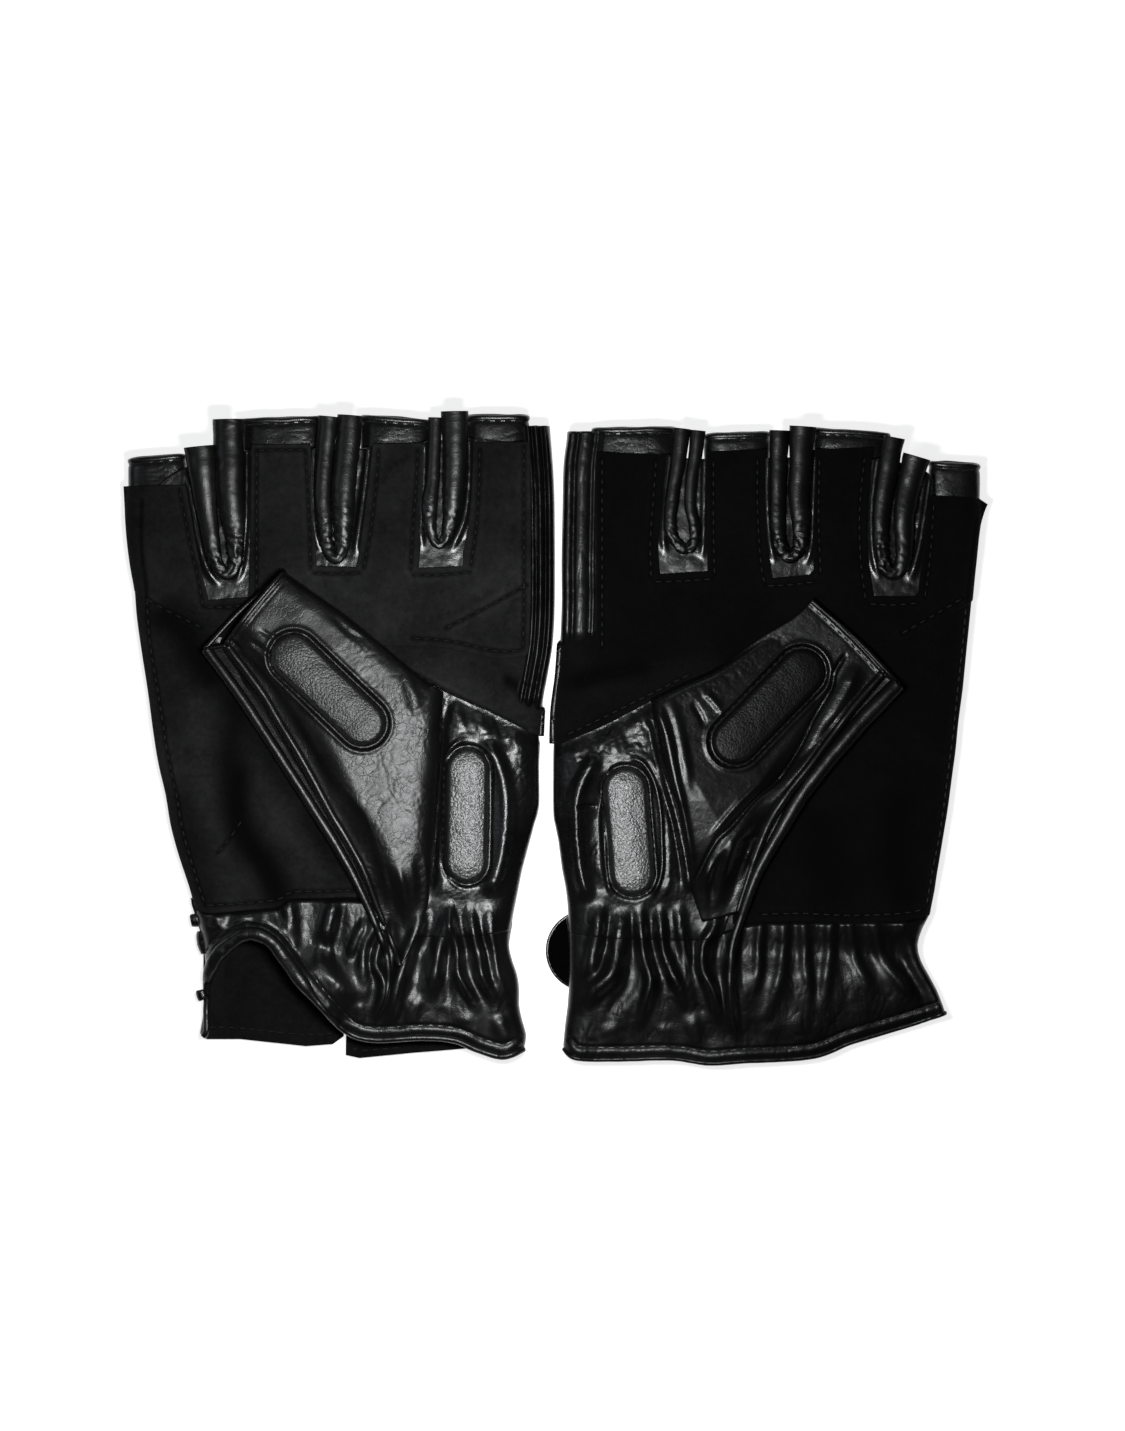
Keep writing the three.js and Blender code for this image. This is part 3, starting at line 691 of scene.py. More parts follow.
def leather(name, dark, light, rough, spec, grain=0.5, crease=0.5, cell=1.5):
    """cell is the size in mm of the plates between creases"""
    s = Shader(name)
    colour = s.ramp(s.noise(0.07), 0.3, (dark, dark, dark * 1.06),
                    0.72, (light, light, light * 1.04))
    lines = s.mask(s.cells(s.warp(0.35, 1.6), 1.0 / cell, "DISTANCE_TO_EDGE"), 0.0, 0.09)
    fine = s.mask(s.cells(s.warp(0.8, 0.7), 2.6, "DISTANCE_TO_EDGE"), 0.0, 0.22)
    patches = s.mask(s.noise(0.16, 2), 0.38, 0.62)
    s.gloss(s.noise(0.5, 4, 0.6), rough - 0.04, rough + 0.09)
    s.bump(s.math("MULTIPLY", lines, patches), crease * 0.22, 0.22)
    s.bump(fine, grain * 0.24, 0.09)
    s.bump(s.noise(5.0, 3, 0.6), grain * 0.18, 0.07)
    s.bump(s.noise(0.35, 3, 0.5), 0.14, 0.5)
    return s.finish(colour, Specular_IOR_Level=spec)


def suede(name, dark, light):
    s = Shader(name)
    big = s.noise(0.06, 4, 0.62, 0.6)
    mid = s.noise(0.9, 4, 0.7)
    fine = s.noise(5.5, 3, 0.7)
    a = s.math("ADD", s.math("MULTIPLY", big, 0.5), s.math("MULTIPLY", mid, 0.32))
    a = s.math("ADD", a, s.math("MULTIPLY", fine, 0.34))
    toned = s.vector("SCALE", s.ramp(a, 0.46, grey(dark), 0.72, grey(light)))
    # the shade attribute scales the colour: painted shade and painted light
    s.link(s.attribute("shade").outputs["Fac"], toned.inputs["Scale"])
    s.bump(mid, 0.5, 0.35)
    s.bump(fine, 0.6, 0.14)
    return s.finish(toned.outputs[0], Roughness=0.95, Specular_IOR_Level=0.06, Sheen_Weight=0.012,
                    Sheen_Roughness=0.6, Sheen_Tint=(0.6, 0.62, 0.7, 1))


def pebbled(name, base, rough, spec=0.5):
    s = Shader(name)
    vec = s.warp(1.2, 0.25)
    large = s.cells(vec, 1.55)
    small = s.cells(vec, 3.1)
    height = s.math("ADD", s.math("MULTIPLY", large, -1.0), s.math("MULTIPLY", small, -0.5))
    colour = s.ramp(large, 0.2, grey(base * 1.15), 0.75, grey(base * 0.7))
    s.gloss(s.noise(1.5), rough - 0.05, rough + 0.1)
    s.bump(height, 0.5, 0.17)
    s.bump(s.noise(6.0, 2), 0.2, 0.05)
    return s.finish(colour, Specular_IOR_Level=spec)


def thread(name, base):
    s = Shader(name)
    wave = s.new("ShaderNodeTexWave", Scale=3.2, Distortion=1.2)
    s.link(s.vec, wave.inputs["Vector"])
    twist = wave.outputs["Fac"]
    s.bump(twist, 0.4, 0.08)
    colour = s.ramp(twist, 0.2, grey(base * 0.5), 0.8, grey(base))
    return s.finish(colour, Roughness=0.6, Specular_IOR_Level=0.25)


def fuzz(name, base):
    s = Shader(name)
    a = s.math("ADD", s.math("MULTIPLY", s.cells(s.vec, 1.6), 0.6),
               s.math("MULTIPLY", s.noise(4.0, 4, 0.7), 0.6))
    s.bump(a, 0.7, 0.3)
    colour = s.ramp(a, 0.25, grey(base * 1.3), 0.8, grey(base * 0.5))
    return s.finish(colour, Roughness=0.98, Specular_IOR_Level=0.02)


# dictionaries are keyed by the sign of the glove; the left glove's copies (-1) are darker and less glossy:
# painted shade
SMOOTH = leather("smooth_leather", dark=0.0015, light=0.0045, rough=0.25, spec=0.36)
GLAZED = leather("glazed_leather", dark=0.0015, light=0.004, rough=0.24, spec=0.4,
                 crease=0.3, grain=0.3)
CREASED = leather("creased_leather", dark=0.0015, light=0.004, rough=0.32, spec=0.265,
                  crease=0.65, grain=0.35, cell=1.7)
# painted shade: the -1 copy, for the left glove, is darker and duller
CUFF_LEATHER = {
    1: leather("cuff_leather", dark=0.0015, light=0.004, rough=0.31, spec=0.29,
               crease=0.4, grain=0.3),
    -1: leather("cuff_leather_painted_shade", dark=0.001, light=0.003, rough=0.32, spec=0.19,
                crease=0.4, grain=0.3)}
# painted shade: the left glove's smooth leather is a darker, duller copy
SMOOTH_PAINTED_SHADE = leather("smooth_leather_painted_shade", dark=0.0012, light=0.0035, rough=0.25, spec=0.2,
                      crease=0.35, grain=0.35)
# painted shade: the left glove's suede is a darker copy
SUEDE = {1: suede("suede_nap", dark=0.0030, light=0.0105),
         -1: suede("suede_nap_painted_shade", dark=0.0003, light=0.0014)}
PAD = pebbled("pebble_pad", base=0.008, rough=0.33, spec=0.56)
# painted shade: the thumb pads are darker, duller copies of the heel pad's leather, the left one darkest
THUMB_PAD = {1: pebbled("pebble_pad_thumb", base=0.006, rough=0.37, spec=0.36),
             -1: pebbled("pebble_pad_thumb_deep_painted_shade", base=0.003, rough=0.40, spec=0.12)}
FLESH_SIDE = suede("leather_flesh_side", dark=0.0018, light=0.006)
THREAD = thread("sewing_thread", base=0.0035)
HOOK = fuzz("hook_tape", base=0.0008)
LOOP = fuzz("loop_tape", base=0.007)
GEL = pebbled("gel_core", base=0.03, rough=0.6)

# ------------------------------------------------------------------ side seams of the gloves
# All texts below are grid points "u,v"; each side runs from the fingers to the wrist.
RIGHT.little = pts("""129,440 126,486 125,525 128,555 131,575 134,590 136,615 140,645 147,690
    153,735 158,765 165,795 170,825 178,855 188,885 195,908 199,925 204,945 206,975 207,990
    204,1005 201,1020 198,1036""")
RIGHT.thumbside = pts("""549,426 551,450 553,480 554,520 554,600 552,642 547,674 542,702 540,732
    539,767 539,805 534,825 530,840 526,855 522,870 519,885 516,900 513,915 510,930 509,945
    512,960 517,975 519,990 519,1005 522,1020 526,1035 524,1052""")
LEFT.thumbside = pts("""568,424 567,440 564,465 563,505 562,560 562,610 559,670 554,712 553,760
    553,810 555,825 558,840 560,855 562,870 565,885 567,900 568,915 569,960 569,990 568,1005
    566,1020 564,1035 563,1052""")
LEFT.little = pts("""979,455 980,495 982,508 981,525 979,540 976,570 972,600 969,630 966,660
    963,690 959,720 956,750 952,780 948,810 943,840 938,870 935,885 932,900 930,915 923,928
    918,945 921,960 929,975 937,990 943,1005 946,1013""")
for glove in GLOVES:
    glove.little_curve = spline(glove.little, 3.0)
    glove.thumb_curve = spline(glove.thumbside, 3.0)


def side_dist(glove, points):
    """distances inwards from the little-finger side and from the thumb side"""
    little = follow(points, glove.little_curve)
    thumb = follow(points, glove.thumb_curve)
    a = little[0] * np.where(little[2] * glove.sign > 0, 1, -1)
    b = thumb[0] * np.where(thumb[2] * glove.sign < 0, 1, -1)
    return np.maximum(a, 0), np.maximum(b, 0)


def edge_dist(glove, points):
    return np.minimum(*side_dist(glove, points))


def palm_base(glove, points):
    """top of the palm layer: a low cushion that falls away to the side seams"""
    a, b = side_dist(glove, points)
    z = 4.6 + 4.0 * np.minimum(dome(a, 6.5), dome(b, 7.0))
    seed = 3 if glove.sign > 0 else 9
    return z + 0.35 * fbm(points, 30, seed, 2) * ease(np.minimum(a, b), 0, 12)


# folds: points, height mm, half width mm
RIGHT.folds = [
    ("242,745 238,790 239,826 252,850 266,870 278,906", -1.5, 2.6),
    ("262,735 268,790 290,850 312,896", 0.8, 4.5),
    ("205,740 212,800 222,850 236,900", 0.7, 4.5),
    ("150,600 190,640 215,690", -0.5, 4.0),
    ("500,676 520,688 534,706", -0.8, 1.6),
]
LEFT.folds = [
    ("820,800 822,850 838,905", -0.7, 4.0),
    ("880,700 890,780 876,860 872,910", 0.6, 6.0),
    ("566,688 596,676 640,668", -1.2, 1.8),
    ("905,780 895,850 905,910", -0.5, 3.5),
]
# painted shadow streaks (darker) and painted lit streaks (paler) on the suede: points, strength, half width
# mm
RIGHT.nap_dark = [
    ("262,617 245,680 232,740 232,800 246,836 268,868 286,898", 0.75, 4.6),
    ("206,660 256,735 300,806 340,872", 0.45, 3.4),
    ("176,800 190,850 206,900", 0.45, 4.0),
    ("130,500 140,600 160,720", 0.3, 4.0)]
LEFT.nap_dark = [("566,683 600,674 640,668", 0.5, 2.0)]
# painted lit streaks: paler suede where the light falls
RIGHT.nap_pale = [
    ("196,690 206,770 214,820", 0.5, 4.0), ("286,820 320,872", 0.35, 5.0),
    ("420,668 470,690 525,712", 0.5, 5.0), ("330,600 420,610 500,600", 0.55, 9.0)]
LEFT.nap_pale = [("572,716 640,688 700,672", 2.2, 4.6), ("576,640 576,655", 1.2, 3.0)]


def palm_top(glove, points):
    z = palm_base(glove, points)
    ridges(z, points, glove.folds, 2.0, 0.3)
    return z + 0.22 * fbm(points, 9, 21 if glove.sign > 0 else 27, 3) * 0.8


def painted_shade_and_light(glove, lines, verts):
    """painted shade in the sewn grooves, with a paler rim beside them; painted shadow along the deep
    folds and the shadow streaks; painted light on the lit streaks; random mottling of the nap"""
    points = verts[:, :2]
    v = np.ones(len(points))
    # painted shade: the sewn grooves are darker, with a paler rim just beside them
    for line in lines:
        m = near(points, line, 2.5)
        d = gap(points[m], line)
        v[m] *= 1 - 0.8 * bell(d, 0.5) + 0.22 * bell(d - 1.25, 0.5)
    # painted shadow along the deep folds
    for text, height, width in glove.folds:
        if height < 0:
            line = curve(text, 2.0)
            m = near(points, line, 4 * width)
            d, t, _, total = follow(points[m], line)
            fade = ease(t / total, 0, .2) * (1 - ease(t / total, .9, 1.0) * 0.5)
            v[m] *= 1 - 0.88 * bell(d, width * 1.35) * fade
    # painted shadow streaks
    for text, strength, width in glove.nap_dark:
        v *= 1 - strength * bell(gap(points, curve(text, 3.0)), width)
    # painted lit streaks: paler suede where the light falls
    for text, strength, width in glove.nap_pale:
        v *= 1 + strength * bell(gap(points, pts(text)), width)
    v *= 1 + 0.28 * fbm(points, 26, 131, 3) + 0.16 * fbm(points, 2.2, 137, 2)
    return np.clip(v, 0.05, 2.2)


# ------------------------------------------------------------------ suede palm
RIGHT.palm_outline = outline(
    "131,560",
    curve("""131,572 134,590 136,615 140,645 147,690 153,735 158,765 165,795 170,825 178,855
        188,885 195,911"""),
    curve("203,912 214,913 245,910 278,907 290,899 320,898 353,897 378,900"),
    "376,800 380,720 396,668 413,673", curve("413,673 430,684 449,694 490,713 531,733"),
    curve("539,735 541.5,718 542.5,700 541,678 534,652 531,600 531,560"))
RIGHT.palm_stitch = [
    curve("""143,500 142,545 147,590 150,640 158,690 165,735 170,765 177,795 182,825 190,855
        199,885 205,903"""),
    spline(pts("416,682 450,701 490,720 526,738") + np.array([0.0, 2.2])),
    curve("242,820 230,838 218,853"),
    curve("206,905 245,903 278,899 292,892 320,891 353,890")]
LEFT.palm_outline = outline(
    "562,640", curve("561,650 559,672 556,690 554.5,715 554,743"),
    curve("560,744 605,725 649,702 680,686 712,672"), "740,690 735,800 732,924",
    curve("757,922 800,921 850,923 900,921 930,915"),
    curve("""935,890 938,870 943,840 948,810 952,780 956,750 959,720 963,690 966,660 969,630
        972,600 974,580"""),
    "900,580 700,600")
LEFT.palm_stitch = [
    curve("""975,520 970,560 966,600 962,645 957,690 953,730 949,760 944,800 939,835 932,870
        926,905"""),
    curve("566,735 606,716 650,694 690,674"),
    curve("760,914 800,913 850,915 900,913 922,909")]


def build_palm(glove):
    def surface(points):
        z = palm_top(glove, points)
        grooves(z, points, glove.palm_stitch, 0.28)
        return z
    make(glove.side + "_suede_palm", sheet(glove.palm_outline, surface, 1.0, step=0.62, edge=0.4),
         SUEDE[glove.sign], "suede", blend=knuckle(glove), replaces=[glove.side + "_palm_panel"],
         shade=lambda verts: painted_shade_and_light(glove, glove.palm_stitch, verts))
    for line in glove.palm_stitch:
        stitch(glove, "palm", line, surface, pitch=2.5)


# ------------------------------------------------------------------ suede patch with finger tongues
RIGHT.patch_outline = outline(
    curve("123,486 124,505 125,525 128,555 131,574 134,591"),
    curve("134,591 165,611 200,633"), curve("200,633 260,644 330,645 410,646", 2),
    curve("410,646 449,649 497,658 526,656"),
    "529,652 531,600 531,500 530,442 473,442",
    curve("473,442 472,480 469,520 463,552"), "463,566 419,568",
    curve("419,568 423,520 425,480 427,443"),
    "373,444", curve("373,444 369,480 364,520 358,560"), "356,567 317,566",
    curve("317,566 315,520 312,480 311,444"),
    "252,445", curve("252,445 251,500 250,550 249,597"), "209,600",
    curve("209,600 203,575 196,540 190,505 186,485"))
LEFT.patch_outline = outline(
    "596,452 596,560 596,640", curve("594,652 590,664 584,680"),
    curve("586,683 604,677 646,666 694,660 736,650"), curve("736,650 800,650 860,648 905,640", 2),
    curve("905,640 940,620 970,603"),
    curve("973,600 976,570 979,540 981,525 985,511 988,504"), "979,498 926,496",
    curve("926,496 924,530 921,560 917,592"), "914,596 873,596",
    curve("873,596 868,560 867,520 872,448"),
    "812,450", curve("812,450 810,500 812,545 813,570"), "808,575 772,578",
    curve("772,578 767,540 765,500 765,450"),
    "706,452", curve("706,452 706,500 707,571"), "660,574",
    curve("660,574 658,545 662,500 666,455"))
RIGHT.patch_stitch = [curve(text) for text in (
    "524,446 524,520 524,600 523,648", "520,650 497,651 449,641 412,638",
    "527,585 500,600 470,616 446,628",
    "180,490 186,520 192,550 199,580 203,606", "206,607 230,607 252,604",
    "257,600 257,550 257,500 257,450", "257,451 280,450 305,450",
    "306,452 308,490 310,530 311,568",
    "364,568 371,530 376,490 379,450", "314,573 336,574 360,573",
    "418,450 416,490 413,530 411,570", "413,575 440,575 470,572",
    "471,566 476,530 479,490 480,450",
    "146,598 170,612 203,628")]
LEFT.patch_stitch = [curve(text) for text in (
    "602,458 602,540 602,648",
    "656,460 653,500 650,545 651,578", "654,582 684,581 712,579", "714,575 713,520 713,460",
    "757,458 757,510 760,560 764,584", "766,586 790,585 814,582", "820,574 818,520 819,458",
    "864,456 859,510 860,560 865,600", "868,604 892,605 918,603",
    "924,598 929,560 932,520 933,503",
    "900,634 930,617 962,598")]


def build_patch(glove):
    side = glove.side
    lines = glove.patch_stitch + glove.palm_stitch[:1]

    def surface(points):
        z = palm_top(glove, points) + 0.75
        grooves(z, points, lines, 0.3)
        return z + 0.10 * fbm(points, 5, 61, 2)
    make(side + "_suede_patch", sheet(glove.patch_outline, surface, 0.9, step=0.6, edge=0.42),
         SUEDE[glove.sign], "suede", blend=knuckle(glove),
         replaces=[side + "_palm_patch", side + "_palm_fingers"],
         shade=lambda verts: painted_shade_and_light(glove, lines, verts))
    for line in glove.patch_stitch:
        stitch(glove, "patch", line, surface, pitch=2.4, length=1.6)


# ------------------------------------------------------------------ leather under the fourchettes
# rims: points, height mm, half width mm
RIGHT.rims = [
    ("247,424 247,480 246,530 241,570 232,586", 0.9, 0.8),
    ("187,470 196,520 206,565 222,588", 0.9, 0.9),
    ("316,424 313,480 315,530 322,556", 0.8, 0.8),
    ("371,430 366,480 360,525 355,560", 0.9, 0.9),
    ("425,430 424,480 421,530 424,552", 0.8, 0.8),
    ("469,424 469,480 464,520 448,556", 0.9, 0.9)]
LEFT.rims = [
    ("672,440 667,490 663,535 666,556", 0.8, 0.8),
    ("705,440 704,500 703,545 700,562", 0.8, 0.8),
    ("768,440 767,500 770,545 776,566", 0.9, 0.8),
    ("815,440 813,500 811,545 804,568", 0.9, 0.8),
    ("880,440 872,500 872,550 880,582", 0.9, 0.8),
    ("931,465 925,510 918,550 908,584", 1.1, 0.9)]
RIGHT.under = pts("""140,500 150,492 180,470 250,450 350,449 520,449 520,590 350,592 260,612
    190,616 150,590""")
LEFT.under = pts("""612,459 700,459 860,458 926,472 935,500 960,504 955,580 925,612 860,612
    700,592 612,590""")


def build_under(glove):
    def surface(points):
        z = palm_top(glove, points) + 0.1
        ridges(z, points, glove.rims, 1.5, 0.15)
        return z - 0.08 * creases(points, 80, 5.0, 2.2, 71)
    make(glove.side + "_finger_lining",
         sheet(spline(glove.under, 1.5, True), surface, 0.8, edge=0.35), GLAZED,
         blend=knuckle(glove))


# ------------------------------------------------------------------ fourchettes
# folded leather tubes between the fingers: name, centre line, tube width in grid squares
RIGHT.forks = [
    ("ring_little", """200.7,447 203,470 206,495 209,520 213,545 217,562 224,573 231,573 236,562
        236,545 234,520 231,495 230,470 229.3,420""",
     [14, 13.5, 12, 10, 8.5, 7.6, 7, 7, 8, 9.5, 12, 13, 13.6, 14]),
    ("middle_ring", """329,417 326,450 323,490 325,525 328,545 333,557 339,557 343,545 344,525
        344,490 348,450 350.5,416""",
     [9.2, 8.8, 8.4, 8, 7.4, 7, 7.4, 8.6, 10.5, 12, 11.6, 11.2]),
    ("index_middle", """435.5,418 434.5,450 433,480 430,502 430,522 433,538 440,545 446,538
        450,522 453,500 455,470 455,440 454.5,412""",
     [6.2, 6.2, 6.6, 8.2, 7.2, 5.6, 5.4, 6, 8, 10.5, 11.8, 12.2, 12.4]),
]
LEFT.forks = [
    ("index_middle", """681.5,429 678,460 673,490 670,515 671,532 677,545 686,549 693,543 694,528
        690,505 691,480 695,455 697.5,431""",
     [7.6, 7.4, 7.0, 6.8, 6.6, 6.2, 6, 6.2, 6.2, 6.2, 6.4, 6.6, 6.8]),
    ("middle_ring", """779,431 778,460 777,495 777,525 780,545 786,556 794,556 799,545 800,525
        798,495 800,460 802,427""",
     [8.8, 8.6, 8.4, 8.2, 7.6, 7.0, 7.2, 8.4, 9.6, 10.2, 11, 11.8]),
    ("ring_little", """893,438 888,465 883,495 880,525 881,553 886,570 895,573 902,560 903,540
        903,515 908,485 916,457""",
     [9.6, 9.4, 9.2, 8.6, 7.8, 7.2, 7.2, 8.6, 9.6, 10.4, 11.2, 12.4]),
]
FORK_SECTIONS = 28


def fork_tube(glove, centre, widths, seed):
    width = np.array(widths) * SQUARE
    width = width * (1 + 0.13 * np.abs(np.linspace(-1, 1, len(width))) ** 3)
    z = palm_top(glove, centre) + 0.15
    path = spline(np.c_[centre, z + width * 0.5, width], 0.42)
    radius = np.clip(path[:, 3], 0.5, 9)
    bend = np.repeat(bell(np.linspace(0, 1, len(path)) - 0.5, 0.13), FORK_SECTIONS)

    def bump(arc, around):
        q = np.c_[arc, around * 2.2]
        v = 0.06 * fbm(q, 6.0, seed, 2)
        v = v - creases(q, 78, 5.0, 2.0, seed + 2, 0.14, 0.8) * (0.02 + 0.42 * bend)
        v = v - 0.3 * creases(q, 35, 4.0, 2.4, seed + 8, 0.2, 0.8) * bend
        return v + 0.14 * bend * noise(q, 2.4, seed + 4)
    return sweep(path[:, :3], radius, radius * 0.62, FORK_SECTIONS, bump)


def fork_wall(glove, centre, seed):
    """the gusset that goes on down to the back of the fingers"""
    line = spline(centre, 0.8)
    first = np.arange(len(line)) <= int(np.argmin(line[:, 1]))
    deep = np.where(first, centre[0, 1], centre[-1, 1]) - 7.4 - line[:, 1]
    line, deep = line[deep > 0], deep[deep > 0]
    up = np.linspace(0, 1, 9)
    z_top = palm_top(glove, line) - 0.35
    off = offset_line(line, 1.0) - line
    bulge = 0.5 * np.sin(up * math.pi)
    x = line[:, :1] + off[:, :1] * bulge[None, :]
    x = x + 0.06 * noise(np.c_[line[:, 1], line[:, 0]], 5, seed + 6)[:, None]
    y = line[:, 1:2] + off[:, 1:] * bulge[None, :]
    tall = (z_top - 1.0) * np.maximum(ease(deep, 0, 9), 0.08)
    return wall(np.dstack([x, y, z_top[:, None] + tall[:, None] * (up[None, :] - 1)]), 0.7)


def build_forks(glove):
    for k, (finger_gap, text, widths) in enumerate(glove.forks):
        centre = pts(text)
        name = f"{glove.side}_fourchette_{finger_gap}"
        seed = 100 + 13 * k + (0 if glove.sign > 0 else 57)
        make(name + "_leather", fork_tube(glove, centre, widths, seed), CUFF_LEATHER[glove.sign],
             blend=knuckle(glove), replaces=[name])
        make(name + "_wall", fork_wall(glove, centre, seed), SMOOTH, blend=knuckle(glove))


for glove in GLOVES:
    build_palm(glove)
    build_patch(glove)
    build_under(glove)
    build_forks(glove)

# ------------------------------------------------------------------ cuff surface
RIGHT.cuff_hem = curve("""203,1036 206,1030 206,1005 207,979 218,955 239,937 254,933 272,941
    290,964 305,984 320,1003 344,1029 371,1039 425,1037 455,1040 479,1050 503,1056 523,1049""", 0.8)
LEFT.cuff_hem = curve("""564,1049 577,1058 620,1059 670,1058 709,1063 742,1061 811,1057 850,1043
    880,1034 910,1025 945,1013""", 0.8)
RIGHT.cuff = outline(
    "190,898 240,896 290,884 350,886 378,905", curve("378,912 420,922 470,924 512,918", 2),
    curve("512,925 509,945 512,960 517,975 519,990 519,1005 522,1020 526,1035 524,1048"),
    RIGHT.cuff_hem[::-1], curve("199,1034 203,1010 206,985 204,955 199,930 191,905"))
LEFT.cuff = outline(
    "566,918 620,926", curve("620,926 700,930 740,924", 2), "750,905 930,904",
    curve("931,912 922,930 918,945 921,960 929,975 937,990 943,1005 945,1012"),
    LEFT.cuff_hem[::-1], curve("563,1046 565,1025 568,1000 569,970 568,935"))
# below this line the cuff dips under the palm pieces
RIGHT.cuff_seam = pts("190,911 205,914 278,908 289,899 378,900 384,929 530,929")
LEFT.cuff_seam = pts("540,931 724,931 748,924 760,922 925,921 940,914")
# gathers: points, height mm, half width mm
RIGHT.gathers = [
    ("446,925 440,947 434,980 429,1004", 1.9, 1.15),
    ("452,925 457,950 459,974 473,1001 480,1014", 1.5, 0.8),
    ("472,925 479,956 484,980 499,1006", 1.8, 1.0),
    ("490,925 496,950 502,985 508,1012", 1.2, 1.3),
    ("418,925 408,950 399,980 395,998 391,1016 381,1040", 1.9, 1.05),
    ("384,930 376,962 384,980 382,1001 371,1025 364,1036", 1.4, 0.8),
    ("374,925 364,950 364,989", 1.4, 0.9), ("368,915 357,938 349,962", 1.3, 0.8),
    ("287,892 289,905 292,942", 1.3, 1.2), ("336,892 334,905 330,922 322,948", 1.3, 1.2),
    ("429,930 420,960 415,990 412,1020", -1.2, 1.1),
    ("466,940 470,970 484,1000 492,1030", -1.0, 1.0), ("446,950 447,980 452,1010", -1.1, 1.0),
    ("392,940 392,965 390,985", -1.3, 0.9), ("372,960 374,990 366,1010", -1.1, 0.9),
    ("340,920 338,950 345,985", -1.2, 1.1), ("310,880 311,925 309,955", -0.8, 1.6),
    ("272,880 276,930", -0.6, 1.0), ("486,940 492,970 503,1000 509,1030", -0.9, 0.9),
    ("506,925 504,950 510,985", -0.6, 0.8),
    ("402,1000 400,1020 396,1036", -0.7, 0.9), ("440,1005 444,1022 450,1036", -0.5, 1.0),
    ("420,990 414,1010 408,1034", 0.5, 1.0),
    ("299,950 316,968 334,990 350,1012", 2.6, 2.6), ("268,922 290,944 310,968", 1.2, 1.7),
    ("218,912 215,930", 0.8, 1.2), ("245,912 242,926", 0.7, 1.2), ("231,910 229,930", -0.7, 0.8),
    ("462,1010 468,1028 480,1044", 0.6, 1.4), ("497,1012 502,1030 508,1046", 0.6, 1.3),
    ("356,1000 360,1018 352,1026", 0.6, 1.0),
]
LEFT.gathers = [
    ("598,925 594,950 584,986", 1.6, 1.2),
    ("620,930 616,956 609,976 588,996 581,1018", 2.0, 1.4),
    ("640,925 644,956 650,980 643,1010 637,1036", 1.7, 0.95),
    ("660,925 662,945 670,968 681,995 679,1012", 1.4, 0.9),
    ("714,925 703,945 702,968 712,989 718,1010 727,1036", 1.5, 0.9),
    ("742,905 733,947 729,980 731,1010 738,1049", 1.6, 0.85),
    ("760,920 757,974 754,998", 1.4, 0.85), ("784,920 781,965 773,998 758,1028", 1.5, 0.95),
    ("803,920 805,962 808,989 806,1015", 1.3, 0.85),
    ("830,920 829,956 824,995 822,1020", 1.5, 0.95),
    ("848,920 853,953 865,980 872,1010", 1.2, 0.85),
    ("872,920 882,956 908,989 934,1008", 1.5, 1.0),
    ("902,920 912,955 930,985 940,1004", 1.1, 0.9), ("680,925 684,950 690,975", 0.8, 0.9),
    ("607,930 604,955 596,976", -1.2, 0.9),
    ("631,930 632,955 630,985 612,1010 605,1040", -1.3, 1.1),
    ("652,930 655,960 664,985 660,1020", -1.1, 1.0),
    ("692,940 694,970 700,1000 704,1030", -1.2, 1.2), ("722,930 717,965 724,1000", -1.1, 0.9),
    ("745,930 743,970 742,1000", -1.2, 0.9), ("770,925 767,960 762,985 748,1020", -1.1, 0.9),
    ("793,925 793,965 790,1000 780,1030", -1.2, 0.95),
    ("817,925 816,960 816,1000 812,1040", -1.1, 0.95),
    ("841,925 841,960 846,995 842,1030", -1.1, 1.0),
    ("864,925 868,958 884,990 890,1018", -1.1, 1.0),
    ("890,925 898,958 918,985", -1.0, 0.9), ("575,935 577,965 575,990", -0.7, 1.0),
    ("668,1020 664,1040 662,1054", 0.5, 1.4), ("690,1010 694,1034 692,1054", 0.6, 1.3),
    ("768,1020 770,1040 772,1054", 0.5, 1.4),
    ("794,1012 797,1034 800,1050", 0.5, 1.4), ("606,1020 612,1040 612,1054", 0.5, 1.4),
    ("858,1000 862,1020 866,1034", 0.4, 1.4),
]


def gather_lines(glove):
    """the gathers as curves with their final size; those that cross the elastic start higher"""
    out = []
    for text, height, width in glove.gathers:
        line = squares(text)
        if 917 <= line[0, 1] <= 945 and line[-1, 1] > 945:
            start = (line[0, 0] + 0.35 * (line[0, 0] - line[1, 0]), line[0, 1] - 30)
            line = np.vstack([start, line])
        soft = 1.0 if glove.sign > 0 or line[0, 0] < 745 else 0.5
        out.append((spline(to_mm(line), 1.5), height * soft * (1.1 if height > 0 else 0.45),
                    width * (1.6 if height > 0 else 1.5)))
    return out


for glove in GLOVES:
    glove.gather_lines = gather_lines(glove)
ARCH = curve("206,1010 207,979 218,955 239,937 254,933 272,941 290,964 320,1003 340,1026", 1.5)


